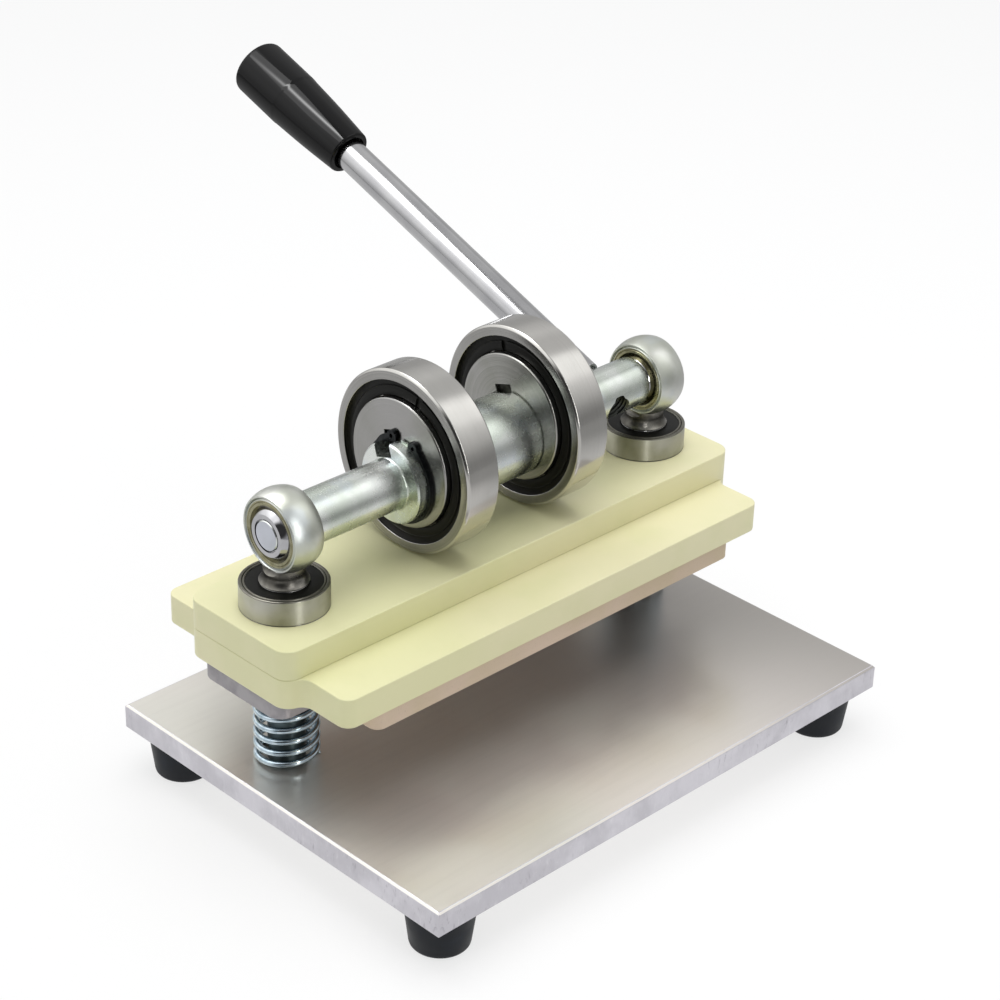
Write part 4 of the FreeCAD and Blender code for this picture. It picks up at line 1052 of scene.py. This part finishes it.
# %% World
world = bpy.data.worlds.new("studio")
scene.world = world
world.use_nodes = True
tree = world.node_tree
tree.nodes.clear()
seen = node_in(tree, "ShaderNodeBackground", {"Color": (1, 1, 1, 1), "Strength": 1.0})
fill = node_in(tree, "ShaderNodeBackground", {"Color": (0.98, 0.99, 1.0, 1),
                                              "Strength": 0.50})
rays = node_in(tree, "ShaderNodeLightPath").outputs
either = node_in(tree, "ShaderNodeMath", {0: rays["Is Camera Ray"],
                                          1: rays["Is Glossy Ray"]}, operation="MAXIMUM")
every = node_in(tree, "ShaderNodeMath", {0: either.outputs[0],
                                         1: rays["Is Transmission Ray"]},
                operation="MAXIMUM")
choose = node_in(tree, "ShaderNodeMixShader", {0: every.outputs[0], 1: fill.outputs[0],
                                               2: seen.outputs[0]})
node_in(tree, "ShaderNodeOutputWorld", {"Surface": choose.outputs[0]})
print("world strength for diffuse light:", fill.inputs["Strength"].default_value)


# %% Lamps
def soft_lamp(name, place, target, size, power):
    """Rectangular lamp that looks at a target and isn't mirrored in metal."""
    lamp = bpy.data.lights.new(name, "AREA")
    lamp.shape = "RECTANGLE"
    lamp.size, lamp.size_y = size
    lamp.energy = power
    lamp_object = bpy.data.objects.new(name, lamp)
    lamp_object.location = place
    direction = Vector(target) - Vector(place)
    lamp_object.rotation_euler = direction.to_track_quat("-Z", "Y").to_euler()
    lamp_object.visible_glossy = False
    scene.collection.objects.link(lamp_object)


soft_lamp("over", (0.05, 0.1, 1.5), (0, 0, 0), (1.6, 1.6), 20.0)
soft_lamp("front_right", (1.0, -1.2, 0.9), (0, 0, 0.02), (1.0, 0.8), 2.0)

# %% [markdown]
# Polished and ground metal shows what stands round it. The photographed press
# stood in a tent of pale cloth: lamps make some parts of the cloth bright, and
# the side where the camera stands is open and dark. The tent shows in reflections
# alone, so the paint's light stays as the lamps and the world give it. Each of
# its points carries a brightness of its own, which the material reads.
#
# The roller's tyre works like a probe for it. A round bar along X, seen from the
# camera, mirrors one direction for each angle round the bar. Read backwards, the
# bands on the tyre tell how bright the cloth is over the press from back to
# front, and the bands on the lever tell the same from left to right.

# %% Brightness of the cloth
far_right_glow, opening_glow = 0.72, 0.06
opening_toward = (-0.76, -0.46, 0.30)
right_bands = [(0, .54), (16, .55), (28, .60), (38, .78), (58, 1.03), (72, .88), (90, .90),
               (95, 1.0), (101, 1.75), (108, 1.95), (128, 1.72), (138, 1.22), (148, 1.0),
               (158, .80), (168, .52), (178, .36), (190, .40)]
left_bands = [(14, .76), (19, 1.9), (30, 2.3), (36, 2.2), (46, 1.85), (57, 1.42),
              (68, 1.35), (79, 1.08), (89, .80), (99, .72)]


def ramp(value, low, high):
    """0 below low, 1 above high, 3s^2 - 2s^3 between."""
    s = np.clip((value - low) / (high - low), 0, 1)
    return s * s * (3 - 2 * s)


def angle_from(directions, toward):
    """Degrees between each direction and one given direction."""
    toward = np.array(toward, float) / np.linalg.norm(toward)
    return np.degrees(np.arccos(np.clip(directions @ toward, -1, 1)))


def tent_glow(directions):
    """Brightness of the cloth in each direction. The right half follows the angle
    over the press from back to front, the left half the angle from straight above to
    the camera's left, a little brighter at the back. The far right is even, and the
    camera stands in a dark opening."""
    x, y, z = directions.T
    over = np.mod(np.degrees(np.arctan2(z, y)) + 90, 360) - 90
    right = np.interp(over, *np.transpose(right_bands))
    aside = np.degrees(np.arctan2((y - x) * math.sqrt(0.5), z))
    left = np.interp(aside, *np.transpose(left_bands))
    left *= 1 + 1.2 * np.clip(y - 0.28, -0.15, 0.12)
    glow = left + (right - left) * ramp(x, -0.05, 0.25)
    glow += (far_right_glow - glow) * ramp(x, 0.70, 0.85)
    opening = 1 - ramp(angle_from(directions, opening_toward), 20, 38)
    return glow + (opening_glow - glow) * opening


# %% A surface that glows
glow_finish = bpy.data.materials.new("glow")
glow_finish.use_nodes = True
tree = glow_finish.node_tree
tree.nodes.clear()
level = node_in(tree, "ShaderNodeAttribute", attribute_name="glow")
lit = node_in(tree, "ShaderNodeEmission", {"Strength": level.outputs["Fac"]})
node_in(tree, "ShaderNodeOutputMaterial", {"Surface": lit.outputs[0]})


def stage_glow(name, points, quads, glow):
    """Surface that glows by a value at each point and shows in reflections alone."""
    mesh = bpy.data.meshes.new(name)
    mesh.from_pydata(points.tolist(), [], quads.tolist())
    level = mesh.attributes.new("glow", "FLOAT", "POINT")
    level.data.foreach_set("value", glow.astype(np.float32))
    shown = bpy.data.objects.new(name, mesh)
    scene.collection.objects.link(shown)
    shown.visible_camera = shown.visible_diffuse = shown.visible_shadow = False
    shown.visible_transmission = shown.visible_volume_scatter = False
    shown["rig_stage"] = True
    shown.data.materials.append(glow_finish)
    print(name, len(points), "points, glow", glow.min(), "to", glow.max())


# %% Tent
tent_radius = 1.4
turn = np.linspace(0, 2 * math.pi, 241)
rise = np.linspace(0, math.pi / 2, 71)[:-1]
T, E = np.meshgrid(turn, rise, indexing="ij")
tent_points = np.stack([np.cos(T) * np.cos(E), np.sin(T) * np.cos(E), np.sin(E)], -1)
tent_points = (tent_points * tent_radius).reshape(-1, 3) + [0, 0, cad_low.z]
from_press = tent_points - [0, 0, 0.08]
from_press /= np.linalg.norm(from_press, axis=1, keepdims=True)
stage_glow("tent", tent_points, grid_quads(len(turn), len(rise)), tent_glow(from_press))

# %% [markdown]
# A soft box hangs over the lever and gives its white band. The tube in the box
# is the thin bright line on the grip. A strip lamp in front, left of the middle,
# gives the upright band on the guide bearings' rings and a soft line on the heads.

# %% Soft box with a bright tube in it
box_middle, box_turn, box_half_u, box_half_w = (-193, 334, 716), 35, 235, 202
box_glow, tube_glow = 4.2, 22.0
tube_side, tube_slant, tube_width = 22, 0.14, 48
tube_middle, tube_length = -140, 220


def soft_box(name, middle, turned_by, half_u, half_w):
    """Level card of points c + a u + b w, turned by an angle in degrees. It glows evenly,
    and more by exp(-((a - side - slant b) / width)^2 - ((b - middle) / length)^2) at a
    tube that lies nearly along w."""
    a, b = np.meshgrid(np.linspace(-half_u, half_u, 57), np.linspace(-half_w, half_w, 41),
                       indexing="ij")
    angle = math.radians(turned_by)
    u = np.array([math.cos(angle), math.sin(angle), 0])
    w = np.array([-math.sin(angle), math.cos(angle), 0])
    points = (np.array(middle) + a[..., None] * u + b[..., None] * w).reshape(-1, 3) * MM
    across = (a - tube_side - tube_slant * b) / tube_width
    along = (b - tube_middle) / tube_length
    glow = box_glow + tube_glow * np.exp(-across ** 2 - along ** 2)
    stage_glow(name, points, grid_quads(*a.shape), glow.ravel())


soft_box("soft_box", box_middle, box_turn, box_half_u, box_half_w)

# %% Strip lamp in front
strip_y, strip_glow = -353.0, 10.0
strip_x, strip_z = np.meshgrid([-168.0, -128.0], [60.0, 480.0], indexing="ij")
strip_points = np.stack([strip_x.ravel(), np.full(4, strip_y), strip_z.ravel()], -1) * MM
stage_glow("front_strip", strip_points, grid_quads(2, 2), np.full(4, strip_glow))

# %% [markdown]
# The floor is plain and pale. Its own colour would turn grey under a soft lamp,
# so to the camera it is partly a steady white, and what is left of its shading
# still shows the soft shadow that the press throws. Metal that mirrors it sees a
# sheet that is bright on the press's left and darker a metre away from there.

# %% Floor
floor_half, floor_height = 6.0, cad_low.z - 0.0002
floor_mesh = bpy.data.meshes.new("floor")
x, y = np.meshgrid([-floor_half, floor_half], [-floor_half, floor_half], indexing="ij")
corners = np.stack([x.ravel(), y.ravel(), np.full(4, floor_height)], -1)
floor_mesh.from_pydata(corners.tolist(), [], [(0, 2, 3, 1)])
floor_made = bpy.data.objects.new("floor", floor_mesh)
scene.collection.objects.link(floor_made)
floor_made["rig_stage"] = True
print("floor at", floor_height)

# %% Floor's finish
steady_share, mirrored_share = 0.72, 0.8
bright_place, bright_to, dark_from = (-0.45, 0.05, cad_low.z), 0.58, 0.95
bright_glow, dark_glow = 0.92, 0.38
floor_finish = bpy.data.materials.new("pale_floor")
floor_finish.use_nodes = True
tree = floor_finish.node_tree
tree.nodes.clear()
matt = node_in(tree, "ShaderNodeBsdfDiffuse", {"Color": (0.93, 0.93, 0.93, 1)})
place = node_in(tree, "ShaderNodeTexCoord").outputs["Object"]
away = node_in(tree, "ShaderNodeVectorMath", {0: place, 1: bright_place},
               operation="DISTANCE")
sheet = node_in(tree, "ShaderNodeMapRange", {"Value": away.outputs["Value"],
                                             "From Min": bright_to, "From Max": dark_from,
                                             "To Min": bright_glow, "To Max": dark_glow},
                interpolation_type="SMOOTHSTEP")
rays = node_in(tree, "ShaderNodeLightPath").outputs
bright = node_in(tree, "ShaderNodeMix", {0: rays["Is Glossy Ray"], 2: 1.0,
                                         3: sheet.outputs[0]})
steady = node_in(tree, "ShaderNodeEmission", {"Color": (1, 1, 1, 1),
                                              "Strength": bright.outputs[0]})
share = node_in(tree, "ShaderNodeMath", {0: rays["Is Camera Ray"], 1: steady_share},
                operation="MULTIPLY")
mirrored = node_in(tree, "ShaderNodeMath", {0: rays["Is Glossy Ray"], 1: mirrored_share},
                   operation="MULTIPLY")
either = node_in(tree, "ShaderNodeMath", {0: share.outputs[0], 1: mirrored.outputs[0]},
                 operation="MAXIMUM")
blend = node_in(tree, "ShaderNodeMixShader", {0: either.outputs[0], 1: matt.outputs[0],
                                              2: steady.outputs[0]})
node_in(tree, "ShaderNodeOutputMaterial", {"Surface": blend.outputs[0]})
floor_made.data.materials.append(floor_finish)
print("floor nodes:", len(tree.nodes))

# %% [markdown]
# ## Camera
#
# The photograph's straight edges meet in three vanishing points, which give the
# lens and the angle. The camera stands about 1.2 m away, half way round to the
# left, 28.7 degrees above level.

# %% Camera
def looking(pitch, yaw, roll):
    """Rows right, up and forward of a camera turned by yaw, lowered by pitch and then
    rolled, all in degrees."""
    pitch, yaw, roll = np.radians([pitch, yaw, roll])
    forward = np.array([np.sin(yaw) * np.cos(pitch), np.cos(yaw) * np.cos(pitch),
                        -np.sin(pitch)])
    right = np.array([np.cos(yaw), -np.sin(yaw), 0.0])
    up = np.cross(right, forward)
    turned_right = np.cos(roll) * right + np.sin(roll) * up
    turned_up = -np.sin(roll) * right + np.cos(roll) * up
    return turned_right, turned_up, forward


camera_place = Vector((-738.9, -753.3, 626.0)) * MM
pitch, yaw, roll = 28.741, 45.083, 1.693
right, up, forward = looking(pitch, yaw, roll)
camera_data = bpy.data.cameras.new("camera")
camera_data.sensor_width = 36.0
camera_data.lens = 94.99
camera_data.clip_start, camera_data.clip_end = 0.01, 100
camera = bpy.data.objects.new("camera", camera_data)
turn = Matrix(np.stack([right, up, -forward], -1).tolist()).to_4x4()
camera.matrix_world = Matrix.Translation(camera_place) @ turn
scene.collection.objects.link(camera)
scene.camera = camera
scene.view_settings.view_transform = "Standard"
print("camera at", tuple(camera.location))

# %% Compare the dressed part's box with the solids' box
low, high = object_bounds()
print("box grew by", tuple(high - cad_high), "and", tuple(cad_low - low))
